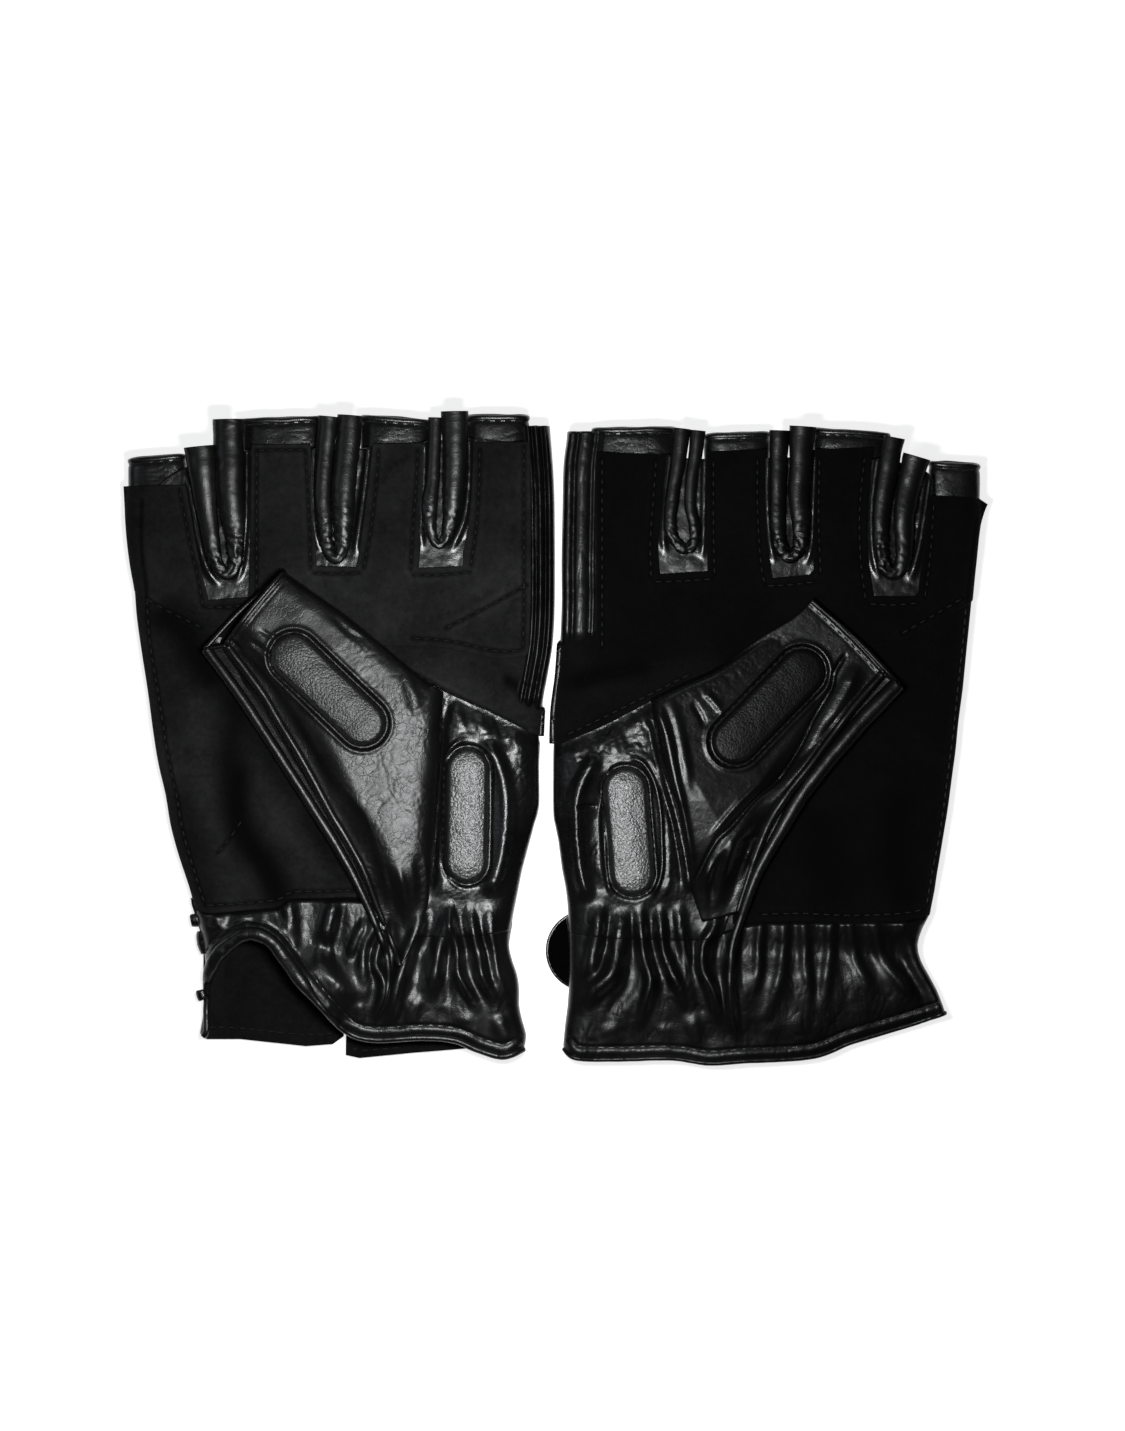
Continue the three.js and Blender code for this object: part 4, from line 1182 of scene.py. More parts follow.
def cuff_surface(glove, points, dive=True):
    """top of the cuff; dive lets it dip under the palm pieces"""
    x, y = points[:, 0], points[:, 1]
    edge = edge_dist(glove, points)
    elastic_y = grid_y(948)
    below = elastic_y - y
    z = 4.6 + 4.3 * dome(edge, 6)
    z -= 0.35 * bell(y - elastic_y, 3.2) * ease(edge, 1, 7)
    z += (1.1 * ease(below, 1, 8) - 2.4 * ease(below, 8, 30)) * ease(edge, 1, 9)
    z += 0.5 * fbm(points, 17, 69, 2) * ease(below, 2, 12) * ease(edge, 1, 9)
    if glove.sign < 0:
        z -= 0.075 * np.clip(x - grid_x(745), 0, 44) * ease(below, -9, 4) * ease(edge, 0, 5)
    keep = ease(edge, 0.3, 5)
    if dive:
        seam_y = np.interp(x, glove.cuff_seam[:, 0], glove.cuff_seam[:, 1])
        z -= 1.6 * ease(y - seam_y, -0.9, 0.9) * ease(edge, -1, 3)
    folds = np.zeros(len(points))
    for line, height, width in glove.gather_lines:
        ridge(folds, points, line, height, width, 0.34)
    hem = gap(points, glove.cuff_hem)
    folds *= 0.25 + 0.75 * ease(hem, 0.5, 9.0)
    # small gathers all along the elastic
    small = np.sin(x * 2 * math.pi / 3.1 + 2.2 * noise(points, 9, 63)) * 0.07
    z += (folds + small * bell(y - elastic_y, 3.4)) * keep
    z += 0.09 * fbm(points, 7.5, 65, 3) * keep
    z -= 0.10 * creases(points, 88, 6.0, 1.9, 67) * keep
    # the folded hem is two layers thick, then comes the piping
    z += 0.28 * bell(hem - 1.9, 1.0) - 0.3 * bell(hem - 3.3, 0.42)
    if glove.sign > 0:
        # the edge curls up along the arch, towards the little finger side
        d, t, _, total = follow(points, ARCH)
        z -= 2.3 * ease(grid_y(950) - y, 0, 14) * (1 - ease(x, grid_x(214), grid_x(244)))
        z += 2.3 * bell(d, 4.0) * ease(t / total, 0.2, 0.5) * (1 - ease(t / total, 0.9, 1.0))
        z += 0.5 * bell(d, 2.0)
    return np.maximum(z, 2.3)


# ------------------------------------------------------------------ finger hems
# finger, then u and v of both top corners, then v of the lower end
RIGHT.hems = [("little", 128, 458, 184, 454, 489), ("ring", 243 - 2, 419, 320, 416, 447),
              ("middle", 362 - 2, 415, 429, 420, 447), ("index", 468 - 2, 415, 529, 415, 446)]
LEFT.hems = [("index", 592, 428, 674, 427, 457), ("middle", 706 - 2, 434, 768, 432, 457),
             ("ring", 815 - 2, 428, 888, 433, 456), ("little", 931 - 2, 461, 980, 464, 501)]
HEM_MID_Z, HEM_HALF_Z = 4.75, 3.55
HEM_SQUARENESS = 2.9           # exponent of the superellipse round a finger
HEM_COLUMNS = 120


def hem_profile(depth):
    """closed section of the folded edge: (outwards, along the finger)"""
    return spline([(0.0, -depth), (0.22, -depth * 0.72), (0.3, -2.9), (0.12, -1.62), (0.42, -0.95),
                   (0.36, -0.3), (-0.1, 0.02), (-0.62, -0.1), (-0.92, -0.7), (-1.0, -1.6),
                   (-1.1, -5.0), (-0.72, -depth + 0.3)], 0.22, True)


def build_hem(glove, finger, u0, v0, u1, v1, bottom):
    x0, y0, x1, y1 = grid_x(u0), grid_y(v0), grid_x(u1), grid_y(v1)
    mid_x, half_x = (x0 + x1) / 2, (x1 - x0) / 2 - 0.25
    profile = hem_profile((y0 + y1) / 2 - grid_y(bottom) + 1.6)
    out, along = profile[:, :1], profile[:, 1:2]
    angle = np.linspace(0, 2 * math.pi, HEM_COLUMNS, endpoint=False)
    nx, nz = np.cos(angle), np.sin(angle)
    ring_x = np.sign(nx) * np.abs(nx) ** (2 / HEM_SQUARENESS)
    ring_z = np.sign(nz) * np.abs(nz) ** (2 / HEM_SQUARENESS)
    top = y0 + (ring_x + 1) / 2 * (y1 - y0)
    top = top + 0.22 * noise(np.c_[ring_x * half_x, ring_z * HEM_HALF_Z], 6.0, u0)
    top = top + np.where(ring_z < 0, 0.5, 0.0) * np.abs(ring_z)
    x = mid_x + ring_x[None, :] * half_x + out * nx[None, :]
    z = HEM_MID_Z + ring_z[None, :] * HEM_HALF_Z + out * nz[None, :]
    y = top[None, :] + along
    uneven = noise(np.c_[x.ravel(), y.ravel() + z.ravel() * 1.7], 7.0, u0 + 3).reshape(x.shape)
    lines = creases(np.c_[x.ravel() + z.ravel(), y.ravel()], 12, 7.0, 1.6, u0 + 9).reshape(x.shape)
    swell = 0.16 * uneven * ease(-along, 0, 3) - 0.06 * lines * ease(-along, 0.4, 2.0)
    z = z + swell * nz[None, :]
    x = x + swell * nx[None, :] * 0.4
    verts = np.dstack([x, y, z]).reshape(-1, 3)
    rows = len(profile)
    faces = []
    for i in range(rows):
        for j in range(HEM_COLUMNS):
            here, below = i * HEM_COLUMNS, ((i + 1) % rows) * HEM_COLUMNS
            nxt = (j + 1) % HEM_COLUMNS
            faces.append((here + j, below + j, below + nxt, here + nxt))
    name = f"{glove.side}_{finger}_hem"
    make(name + "_leather", (verts, faces, verts), SMOOTH, body=glove.side + "_fingers",
         replaces=[name])
    line = np.c_[np.linspace(x0 + 1.2, x1 - 1.2, 24), np.linspace(y0, y1, 24) - 1.62]

    def half_height(x):
        c = np.clip((x - mid_x) / half_x, -1, 1)
        return HEM_HALF_Z * (1 - np.abs(c) ** HEM_SQUARENESS) ** (1 / HEM_SQUARENESS)
    style = dict(pitch=2.5, length=1.8, radius=0.19)
    stitch(glove, "fingers", line, lambda p: HEM_MID_Z + half_height(p[:, 0]) + 0.14, **style)
    # the same seam runs on round the back of the finger
    verts, faces, _ = stitch_run(line, lambda p: np.zeros(len(p)), seed=u0, **style)
    verts[:, 2] = HEM_MID_Z - half_height(verts[:, 0]) - 0.12 - verts[:, 2]
    faces = [tuple(reversed(f)) for f in faces]
    THREAD_RUNS[glove.side, "fingers"].append((verts, faces, verts))


def build_hems(glove):
    for k, (finger, u0, v0, u1, v1, bottom) in enumerate(glove.hems):
        build_hem(glove, finger, u0, v0, u1 + (2 if k < 3 else 0), v1, bottom)


# ------------------------------------------------------------------ index side band
# section: (grid squares inwards from the side, z mm); span: v of its two ends;
# dive: v where it starts to sink under the palm
RIGHT.band = [
    (5.5, 0.9), (1.5, 1.6), (-0.2, 3.2), (-0.6, 5.0), (0.4, 7.0), (2.2, 8.35), (4.5, 8.9), (7, 8.3),
    (8.6, 7.7), (10.4, 8.6), (13.6, 9.35), (16.4, 8.8), (18, 8.15), (19.8, 8.9), (21.8, 9.15),
    (24, 8.6), (27, 8.2)]
LEFT.band = [
    (6, 0.9), (1.5, 1.6), (-0.2, 3.2), (-0.6, 5.0), (0.5, 7.1), (2.4, 8.4), (5.0, 8.95), (8.0, 8.8),
    (10.3, 8.1), (11.6, 8.25), (14, 9.0), (18, 9.3), (22, 9.15), (25, 8.8), (27, 8.3), (28.6, 8.4),
    (30.6, 8.85), (32.6, 8.6), (35, 8.4), (37, 8.2)]
RIGHT.band_span, RIGHT.band_dive = (418, 737), 730
LEFT.band_span, LEFT.band_dive = (430, 745), 664


def fix_right_band():
    """does nothing and is never called. The right section is measured outwards for its first wrap and
    inwards after it
    """


def build_band(glove):
    section = spline(np.array(glove.band, float) * np.array([SQUARE, 1.0]), 0.2)
    edge = spline(glove.thumbside, 0.6)
    first, last = glove.band_span
    edge = edge[(edge[:, 1] <= grid_y(first)) & (edge[:, 1] >= grid_y(last))]
    x = edge[:, 0][:, None] - glove.sign * section[None, :, 0]
    y = edge[:, 1][:, None] + 0 * section[None, :, 0]
    z = np.broadcast_to(section[None, :, 1], x.shape).copy()
    q = np.c_[x.ravel(), y.ravel()]
    z += (0.12 * fbm(q, 7, 33, 2) + 0.4 * noise(q, 15, 37)).reshape(z.shape) * ease(z, 1.5, 5)
    z -= (0.12 * creases(q, 8, 3.0, 5.0, 35)).reshape(z.shape) * ease(z, 3, 6)
    sunk = palm_base(glove, q).reshape(x.shape) - 2.6
    dive_y = grid_y(glove.band_dive)
    z += np.minimum(sunk - z, 0) * (1 - ease(y, dive_y + 1.0, dive_y + 9.0)) * ease(z, 4.0, 6.0)
    skin = np.dstack([x, y, z])
    if glove.sign > 0:
        skin = skin[:, ::-1]
    # each band takes the cuff leather of the other glove, so the right band gets the darker painted-shade
    # copy and the left band the brighter one
    make(glove.side + "_index_side_band", wall(skin, 0.9), CUFF_LEATHER[-glove.sign],
         blend=knuckle(glove), replaces=[glove.side + "_index_side_wall"])


# ------------------------------------------------------------------ thenar leather and heel pad
RIGHT.heel = outline(
    curve("398,655 413,672 449,691 490,710 531,730 538,733"),
    curve("""540,744 539,767 539,805 534,825 530,840 526,855 522,870 519,885 516,900 513,915
        511,930"""),
    curve("480,936 440,937 400,935 376,926", 2), "378,860 382,780 388,700")
LEFT.heel = outline(
    curve("735,655 712,669 680,684 649,699 605,722 562,739 553.5,742"),
    curve("553,752 553,810 555,825 558,840 560,855 562,870 565,885 567,900 568,915 569,934"),
    curve("610,938 660,940 700,940 722,936", 2), "735,896 752,840 780,780 780,700")
RIGHT.seam = curve("398,655 413,673 449,694 490,713 531,733 541,737")
LEFT.seam = curve("735,655 712,670 680,685 649,700 605,724 562,741 554,744")
# pads are capsules: two centres and a radius
RIGHT.heel_pad = (*pts("468,769 466.5,861"), 19.0 * SQUARE)
LEFT.heel_pad = (*pts("625.5,789 632.5,873"), 19.5 * SQUARE)
# points, height mm, half width mm, taper
RIGHT.heel_ridges = [
    # strong welt on the outer side of the pad, then the flank falls away
    ("478,740 492,752 502,775 506,800 506,820 503,850 496,876 484,898", 1.6, 1.9, 0.12),
    ("478,748 489,760 494,785 496,820 493,850 486,872 474,886", 0.5, 0.5, 0.1),
    ("470,738 455,744 446,760 444.5,790 444.5,830 445,862 452,880 466,888", 0.75, 0.62, 0.1),
    ("446,690 440,740 436,800 432,860 428,905", -1.5, 2.0, 0.12),
    ("420,700 412,760 405,840", 0.5, 3.0, 0.2),
    ("452,702 458,716 463,735", 0.5, 0.7, 0.3), ("466,706 470,722 474,738", -0.45, 0.6, 0.3),
    ("478,712 482,726 492,742", 0.5, 0.7, 0.3), ("497,720 503,735 512,752", -0.5, 0.7, 0.3),
    ("510,726 517,742 524,760", 0.5, 0.8, 0.3), ("437,690 440,706 446,722", 0.45, 0.6, 0.3),
    ("424,684 428,700 432,716", -0.4, 0.6, 0.3), ("446,726 456,730 468,730", -0.35, 0.6, 0.3),
]
LEFT.heel_ridges = [
    ("600,752 584,776 576,800 575.5,830 577,850 581,880 590,905", 1.6, 1.8, 0.12),
    ("612,764 604,785 604,815 605,840 605,870 612,896", 0.8, 0.7, 0.1),
    ("626,757 642,762 654,782 660,810 661.5,840 661,872 650,900", 0.65, 0.55, 0.1),
    ("640,752 656,770 666,800 668.5,840 668,880 660,905", 0.5, 0.5, 0.1),
    ("590,800 591,840 594,880", -0.5, 2.2, 0.25),
    ("575,808 585,806 598,806", -0.7, 0.5, 0.3),
    ("649,706 656,740 662,770 672,800 680,830 688,870 690,894", 1.3, 1.5, 0.08),
    ("648,716 654,750 664,790 676,840 682,885", -0.7, 0.8, 0.1),
    ("606,728 612,742 616,758", 0.5, 0.7, 0.3), ("620,722 626,736 632,752", -0.45, 0.6, 0.3),
    ("634,714 640,728 646,744", 0.5, 0.7, 0.3), ("590,734 594,748 598,762", -0.5, 0.7, 0.3),
    ("574,742 578,758 582,774", 0.5, 0.8, 0.3),
]
LEFT_FLANK = curve("612,752 592,768 580,786 576,806 575.5,830 577,850 581,880 590,905", 1.5)


def capsule_dist(points, a, b):
    return gap(points, np.vstack([a, b]))


def capsule_ring(a, b, radius):
    """closed outline of a capsule round the segment a-b"""
    d = (b - a) / np.linalg.norm(b - a)
    n = np.array([-d[1], d[0]])
    t = np.linspace(0, math.pi, 25)
    far = b + radius * (np.outer(np.cos(t), n) + np.outer(np.sin(t), d))
    close = a + radius * (np.outer(-np.cos(t), n) - np.outer(np.sin(t), d))
    return straight(np.vstack([far, close, far[:1]]))


def pad_rise(c, radius):
    """height of a stuffed cover over its base, at distance c from the capsule's spine"""
    return dome(radius + 0.85 - c, 1.5), 0.5 * np.clip(1 - (c / radius) ** 2, 0, 1)


def core_rise(c, radius):
    return np.sqrt(np.clip(1 - (c / (radius - 0.4)) ** 2, 0, 1))


def heel_surface(glove, points):
    z = palm_base(glove, points)
    z += -0.45 + 0.95 * ease(gap(points, glove.seam), 0.1, 4.5)
    a, b, radius = glove.heel_pad
    c = capsule_dist(points, a, b)
    thumb_gap = side_dist(glove, points)[1]
    z += 0.8 * (1 - ease(c, radius + 2.5, radius + 13)) * ease(thumb_gap, 0, 5)
    z -= 0.75 * bell(c - (radius + 1.1), 0.6)
    for text, height, width, taper in glove.heel_ridges:
        if abs(height) <= 0.5 and width <= 0.8:  # the small puckers are flatter and softer
            height, width = height * 0.5, width * 1.8
        ridge(z, points, curve(text, 1.5), height, width, taper)
    if glove.sign < 0:
        d, t, side, total = follow(points, LEFT_FLANK)
        drop = np.interp(np.where(side > 0, d, -0.1),
                         [0.0, 0.8, 6.2, 7.0, 8.0], [0, 0, -1.75, -0.3, 0.0])
        z += drop * ease(t / total, 0.02, 0.25) * (1 - ease(t / total, 0.8, 1.0))
    z += 0.12 * fbm(points, 10, 41 if glove.sign > 0 else 47, 2)
    away = 1 - bell(np.maximum(c - radius, 0), 2.5)
    z -= 0.10 * creases(points, 70, 5.0, 1.9, 43) * away
    z -= 0.10 * creases(points, 10, 4.0, 1.6, 47) * away
    # runs into the cuff
    t = 1 - ease(points[:, 1], grid_y(916), grid_y(884))
    m = t > 0
    z[m] = z[m] * (1 - t[m]) + (cuff_surface(glove, points[m], False) + 0.12) * t[m]
    return z


def build_heel(glove):
    side = glove.side
    a, b, radius = glove.heel_pad

    def pad(points):
        shoulder, crown = pad_rise(capsule_dist(points, a, b), radius)
        return 9.0 + 2.9 * shoulder + crown + 0.10 * fbm(points, 5, 51, 2)

    def core(points):
        return 8.6 + 2.3 * core_rise(capsule_dist(points, a, b), radius)
    surface = lambda points: heel_surface(glove, points)
    make(side + "_thenar_leather",
         sheet(glove.heel, surface, 0.8, step=0.42, edge=0.3, under_step=1.0),
         SMOOTH if glove.sign > 0 else SMOOTH_PAINTED_SHADE, body=side + "_hand",
         replaces=[side + "_thenar_panel"])
    make(side + "_heel_pad_leather",
         sheet(capsule_ring(a, b, radius + 0.8), pad, step=0.36, edge=0.2, rings=(0.1, 0.25, 0.45),
               under=lambda points: np.full(len(points), 8.2)),
         PAD, "pad_leather", body=side + "_hand", replaces=[side + "_heel_pad_cover"])
    make(side + "_heel_gel_core",
         sheet(capsule_ring(a, b, radius - 0.5), core, step=0.9, edge=0.2, rings=(0.2,),
               under=lambda points: np.full(len(points), 8.4)),
         GEL, "gel", body=side + "_hand", replaces=[side + "_heel_gel_insert"])
    stitch(glove, "heel", capsule_ring(a, b, radius + 1.3), surface,
           pitch=2.2, length=1.45, radius=0.17)


# ------------------------------------------------------------------ thumb
# tip: the open end; inner, outer: edges away from the palm; upper, valley: edges on the palm;
# tail: how the welt goes on down the cuff; ridges and tail_folds as for the heel
RIGHT.thumb = SimpleNamespace(
    tip=pts("227,646 255,609 286,573"),
    inner=pts("""227,646 260,690 278,720 305,765 329,810 347,840 363,870 376,905 390,940
        400,966"""),
    outer=pts("""206,649 237,691 257,721 287,767 315,811 334,841 351,871 362,893 374,920
        384,946"""),
    upper=pts("286,573 316,594 347,616 380,643 410,668 430,684"),
    valley=pts("444,690 442,740 438,800 434,850 429,900 418,936 402,966"),
    tail=pts("388,964 388,984 384,1004 374,1024"),
    ridges=[("345,620 372,640 398,652", 0.3, 1.0, .3), ("330,612 352,634 372,640", -0.3, 0.8, .3),
            ("400,660 412,690 420,720", 0.5, 1.6, .3), ("250,640 262,648 276,660", -0.4, 0.7, .3),
            ("258,628 272,636 290,640", -0.3, 0.6, .3), ("285,655 290,640 310,634", 0.35, 0.8, .3)],
    tail_folds=[("398,862 406,900 408,936", 0.9, 1.1, .3), ("418,850 421,890 416,925", -0.8, 1.2, .3),
                ("386,860 394,896 400,930", -0.5, 0.9, .3)],
    pad=(*pts("295,657 364,723"), 20 * SQUARE))
RIGHT_SHOULDER = curve("246,651 275,680 302,720 334,773 366,813 379,848 395,896 422,939", 2)
LEFT.thumb = SimpleNamespace(
    tip=pts("883,674 850,638 810,601"),
    inner=pts("883,674 850,712 812,763 793,787 778,808 768,826 756,856 746,886 738,912"),
    outer=pts("897,684 860,722 825,763 801,795 782,827 756,874 741,916 732,944"),
    upper=pts("810,601 793,617 760,637 735,655 712,670 680,684 650,699"),
    valley=pts("650,699 656,740 664,775 676,810 684,850 691,890 702,922"),
    tail=pts("730,964 729,982 731,1010 736,1040"),
    ridges=[  # the first two are the darts that meet in a V below the pad
        ("""846,652 834,672 830,689 813,718 798,748 778,778 753,800 731,825 714,842 694,881
            687,893""", -1.3, 0.5, .05),
        ("""856,662 842,690 824,722 806,756 784,786 760,812 738,836 716,862
            700,892""", 0.9, 1.9, .08),
        ("768,776 746,794 726,816 708,838", 0.35, 0.7, .15),
        ("652,702 664,730 672,768 680,810 687,850 690,884", 0.9, 1.4, .1),
        ("664,690 676,720 684,760 688,800", 0.4, 1.2, .3),
        ("700,690 712,700 724,716", 0.45, 0.9, .3), ("690,700 700,716 704,730", -0.4, 0.8, .3),
        ("862,664 846,700 826,730", 0.5, 1.6, .3), ("735,845 748,838 760,836", -0.35, 0.7, .3),
        ("728,858 742,856 752,862", 0.3, 0.9, .3)],
    tail_folds=[("738,838 724,872 716,915", 1.0, 1.3, .3), ("712,858 704,885 706,915", 0.8, 1.1, .3),
                ("726,846 712,880 710,918", -0.8, 1.0, .3),
                ("752,830 738,866 728,905", -0.6, 1.0, .3)],
    pad=(*pts("734,741 801,672"), 20 * SQUARE))


def soft_min(*heights):
    return -np.log(sum(np.exp(-z * 1.6) for z in heights)) / 1.6 + 0.35


def thumb_form(glove, points):
    """the thumb's large shape, and how strongly it is creased"""
    thumb = glove.thumb
    inner, upper, valley = (gap(points, spline(line, 2))
                            for line in (thumb.inner, thumb.upper, thumb.valley))
    if glove.sign > 0:
        z = soft_min(10.1 + 3.0 * dome(inner, 1.6) * 0.55 + 2.4 * ease(inner, 1.0, 9.5),
                     9.9 + 5.6 * dome(upper, 4.5), 9.3 + 5.6 * dome(valley, 11.5))
        d, _, side, _ = follow(points, RIGHT_SHOULDER)
        z = z + np.where(side > 0, 0.45, 0.45 * bell(d, 1.1)) * ease(upper, 1, 5)
        return z, ease(points[:, 0], grid_x(300), grid_x(380))
    z = soft_min(10.1 + 3.1 * dome(inner, 2.2) * 0.6 + 1.9 * ease(inner, 1.0, 8.5),
                 9.9 + 5.4 * dome(upper, 5.0), 9.7 + 6.2 * dome(valley, 5.5))
    along = (points - pts("700,760")[0]) @ np.array([0.86, 0.5])
    z = z + 1.1 * ease(inner, 0, 9) - 0.13 * np.clip(along, -4, 60) * ease(inner, 0, 5)
    z = z - 0.09 * np.clip(grid_y(800) - points[:, 1], 0, 36)
    return np.maximum(z, 10.9), 0.25 + 0.75 * bell(gap(points, pts("690,700 760,655")), 7.0)


def thumb_top(glove, points):
    thumb = glove.thumb
    right = glove.sign > 0
    y = points[:, 1]
    z, amount = thumb_form(glove, points)
    ridges(z, points, thumb.ridges, 1.0)
    z += (0.16 if right else 0.08) * fbm(points, 11, 81 if right else 86, 2)
    z -= 0.075 * amount * creases(points, 35 if right else -30, 5.5, 2.0, 83)
    z -= 0.06 * amount * creases(points, 118 if right else 60, 4.5, 1.8, 87)
    z -= 0.04 * amount * creases(points, 80, 3.0, 1.3, 89)
    ridges(z, points, thumb.tail_folds, 1.0)
    # runs into the cuff
    t = 1 - ease(y, grid_y(938 if right else 930), grid_y(862 if right else 836))
    m = t > 0
    floor_z = 0.0
    if not right:
        floor_z = palm_top(glove, points[m]) + 1.5 - 3.0 * ease(grid_y(918) - y[m], 0, 3.0)
    tail = np.maximum(cuff_surface(glove, points[m], False) + 0.2, floor_z)
    z[m] = z[m] * (1 - t[m]) + tail * t[m]
    tip = gap(points, spline(thumb.tip, 1))
    z += (0.35 if right else 0.15) * bell(tip, 0.9) - (0.16 if right else 0.08) * bell(tip - 1.55, 0.45)
    a, b, radius = thumb.pad
    c = capsule_dist(points, a, b)
    z -= 0.65 * bell(c - (radius + 1.1), 0.6)
    z += 0.3 * bell(c - (radius + 2.3), 0.6)
    return z


def back_tip(thumb, sign):
    """the open end of the back layer, which reaches out to the welt"""
    middle = (thumb.outer[0] + thumb.tip[-1]) / 2 + np.array([-0.6 * sign, 0.6])
    return spline(np.vstack([thumb.outer[0], middle, thumb.tip[-1]]))


def build_thumb_layers(glove):
    thumb, sign, side = glove.thumb, glove.sign, glove.side
    inner, outer, upper, valley, tip = (
        spline(line) for line in (thumb.inner, thumb.outer, thumb.upper, thumb.valley, thumb.tip))
    front = np.vstack([tip, upper[1:], valley[1:], inner[::-1][:-1]])
    thumb_make(glove, "front_leather",
               sheet(front, lambda points: thumb_top(glove, points), 1.0, step=0.4, edge=0.5,
                     under_step=1.6),
               CREASED if sign > 0 else SMOOTH_PAINTED_SHADE, replaces=[side + "_thumb_palm_panel"])
    tip = back_tip(thumb, sign)

    def back_surface(points):
        z = (9.6 if sign > 0 else 9.9) + 0.08 * fbm(points, 8, 91, 2) + 0.3 * bell(gap(points, tip), 0.8)
        slope, reach = (0.34, 3.6) if sign > 0 else (0.2, 4.0)
        z -= slope * np.minimum(gap(points, outer), reach)
        t = 1 - ease(points[:, 1], grid_y(935), grid_y(880))
        z = z * (1 - t) + (cuff_surface(glove, points, False) - 0.9) * t
        return z - 0.9 * (1 - ease(gap(points, valley), 0, 5))
    back = np.vstack([tip, upper[1:], valley[1:], outer[::-1][:-1]])
    thumb_make(glove, "back_leather",
               sheet(back, back_surface, 0.9, step=0.7, edge=0.4, under_step=1.8),
               CUFF_LEATHER[sign], replaces=[side + "_thumb_back_panel"])


def build_thumb_edges(glove):
    """the outer welt and the rolled edge of the front panel"""
    thumb, sign = glove.thumb, glove.sign
    inward = np.array([0.9 * sign, 0.35])
    skin = wrinkle(0.05, 6, 95, 3, crease=0.07, across=2.4)
    outer_count = len(spline(thumb.outer))
    line = spline(np.vstack([thumb.outer, thumb.tail]))
    n = len(line)
    f = np.clip(np.linspace(0, 1, n) * n / outer_count, 0, 1)
    t = 1 - ease(line[:, 1], grid_y(955), grid_y(885))
    z = 10.9 * (1 - t) + (cuff_surface(glove, line, False) + 0.35) * t
    if sign > 0:
        radius = 1.5 * (1 - 0.35 * ease(f, 0.6, 1.0))
        line = line + inward * 0.25 * (1 - 0.6 * f)[:, None]
    else:
        radius = np.interp(f, [0, 0.2, 0.4, 0.55, 0.7, 0.85, 1], [2.3, 2.4, 2.3, 2.0, 1.6, 1.3, 1.1])
    radius = radius * (1 - 0.75 * ease(np.linspace(0, 1, n), outer_count / n, 1.0))
    thumb_make(glove, "outer_welt", sweep(np.c_[line, z], radius, radius * 0.9, bump=skin),
               CUFF_LEATHER[sign], replaces=[glove.side + "_thumb_welt"])
    inner = spline(thumb.inner)
    z = thumb_top(glove, inner + inward * 1.6) - 0.55
    radius = 1.2 * (1 - 0.3 * ease(np.linspace(0, 1, len(inner)), 0.6, 1.0))
    path = np.c_[inner + inward * 0.3, z]
    thumb_make(glove, "rolled_edge", sweep(path, radius, radius * 1.15, bump=skin),
               CUFF_LEATHER[sign])


def build_thumb_pad(glove):
    side = glove.side
    a, b, radius = glove.thumb.pad
    shares = np.linspace(0, 1, 9)
    spine = thumb_top(glove, np.vstack([a + (b - a) * t for t in shares]))
    slope, start = np.polyfit(shares, spine, 1)

    def plane(points):
        t = np.clip(((points - a) @ (b - a)) / ((b - a) @ (b - a)), -0.3, 1.3)
        z = np.minimum(slope * t + start, 14.9)
        if glove.sign < 0:
            z = z - 0.07 * ((points - (a + b) / 2) @ np.array([0.7, -0.7]))
        return z

    def pad(points):
        shoulder, crown = pad_rise(capsule_dist(points, a, b), radius)
        return plane(points) - 0.7 + 2.6 * shoulder + crown + 0.08 * fbm(points, 5, 57, 2)

    def core(points):
        return plane(points) - 0.9 + 1.9 * core_rise(capsule_dist(points, a, b), radius)
    thumb_make(glove, "pad_leather",
               sheet(capsule_ring(a, b, radius + 0.8), pad, 1.2, step=0.36, edge=0.2,
                     rings=(0.1, 0.25, 0.45)),
               THUMB_PAD[glove.sign], slot="pad_leather", replaces=[side + "_thumb_pad_cover"])
    thumb_make(glove, "gel_core",
               sheet(capsule_ring(a, b, radius - 0.5), core, step=0.9, edge=0.2, rings=(0.2,),
                     under=lambda points: plane(points) - 1.1),
               GEL, slot="gel", replaces=[side + "_thumb_gel_insert"])
    stitch(glove, "thumb", capsule_ring(a, b, radius + 1.3),
           lambda points: thumb_top(glove, points), pitch=2.2, length=1.45, radius=0.17)


def build_thumb_opening(glove):
    """a folded strip round the open tip"""
    thumb, sign = glove.thumb, glove.sign
    tip = spline(thumb.tip)
    stitch(glove, "thumb", tip + np.array([0.9 * sign, -0.9]) * 0.85,
           lambda points: thumb_top(glove, points), pitch=2.3, length=1.6, radius=0.18)
    low = back_tip(thumb, sign)
    low = np.c_[low, np.full(len(low), 10.9)]
    low[0, 2] = 10.6
    high = np.c_[tip + np.array([-0.15 * sign, 0.15]), thumb_top(glove, tip) + 0.05 - 0.15]
    outer, inner = thumb.outer[0], thumb.tip[0]
    link = np.array([[*outer, 10.8], [*(outer * 0.5 + inner * 0.5), 11.4], [*inner, 12.2]])
    mesh = join([sweep(spline(low, 0.6), 0.62, 0.55, 12, wrinkle(0.06, 4, 99, 2)),
                 sweep(spline(high, 0.6), 0.6, 0.55, 12, wrinkle(0.06, 4, 93, 2)),
                 sweep(spline(link, 0.5), 0.55, 0.5, 10)])
    thumb_make(glove, "opening_hem", mesh, CUFF_LEATHER[sign],
               replaces=[glove.side + "_thumb_hem"])


for glove in GLOVES:
    build_hems(glove)
    build_band(glove)
    build_heel(glove)
    build_thumb_layers(glove)
    build_thumb_edges(glove)
    build_thumb_pad(glove)
    build_thumb_opening(glove)


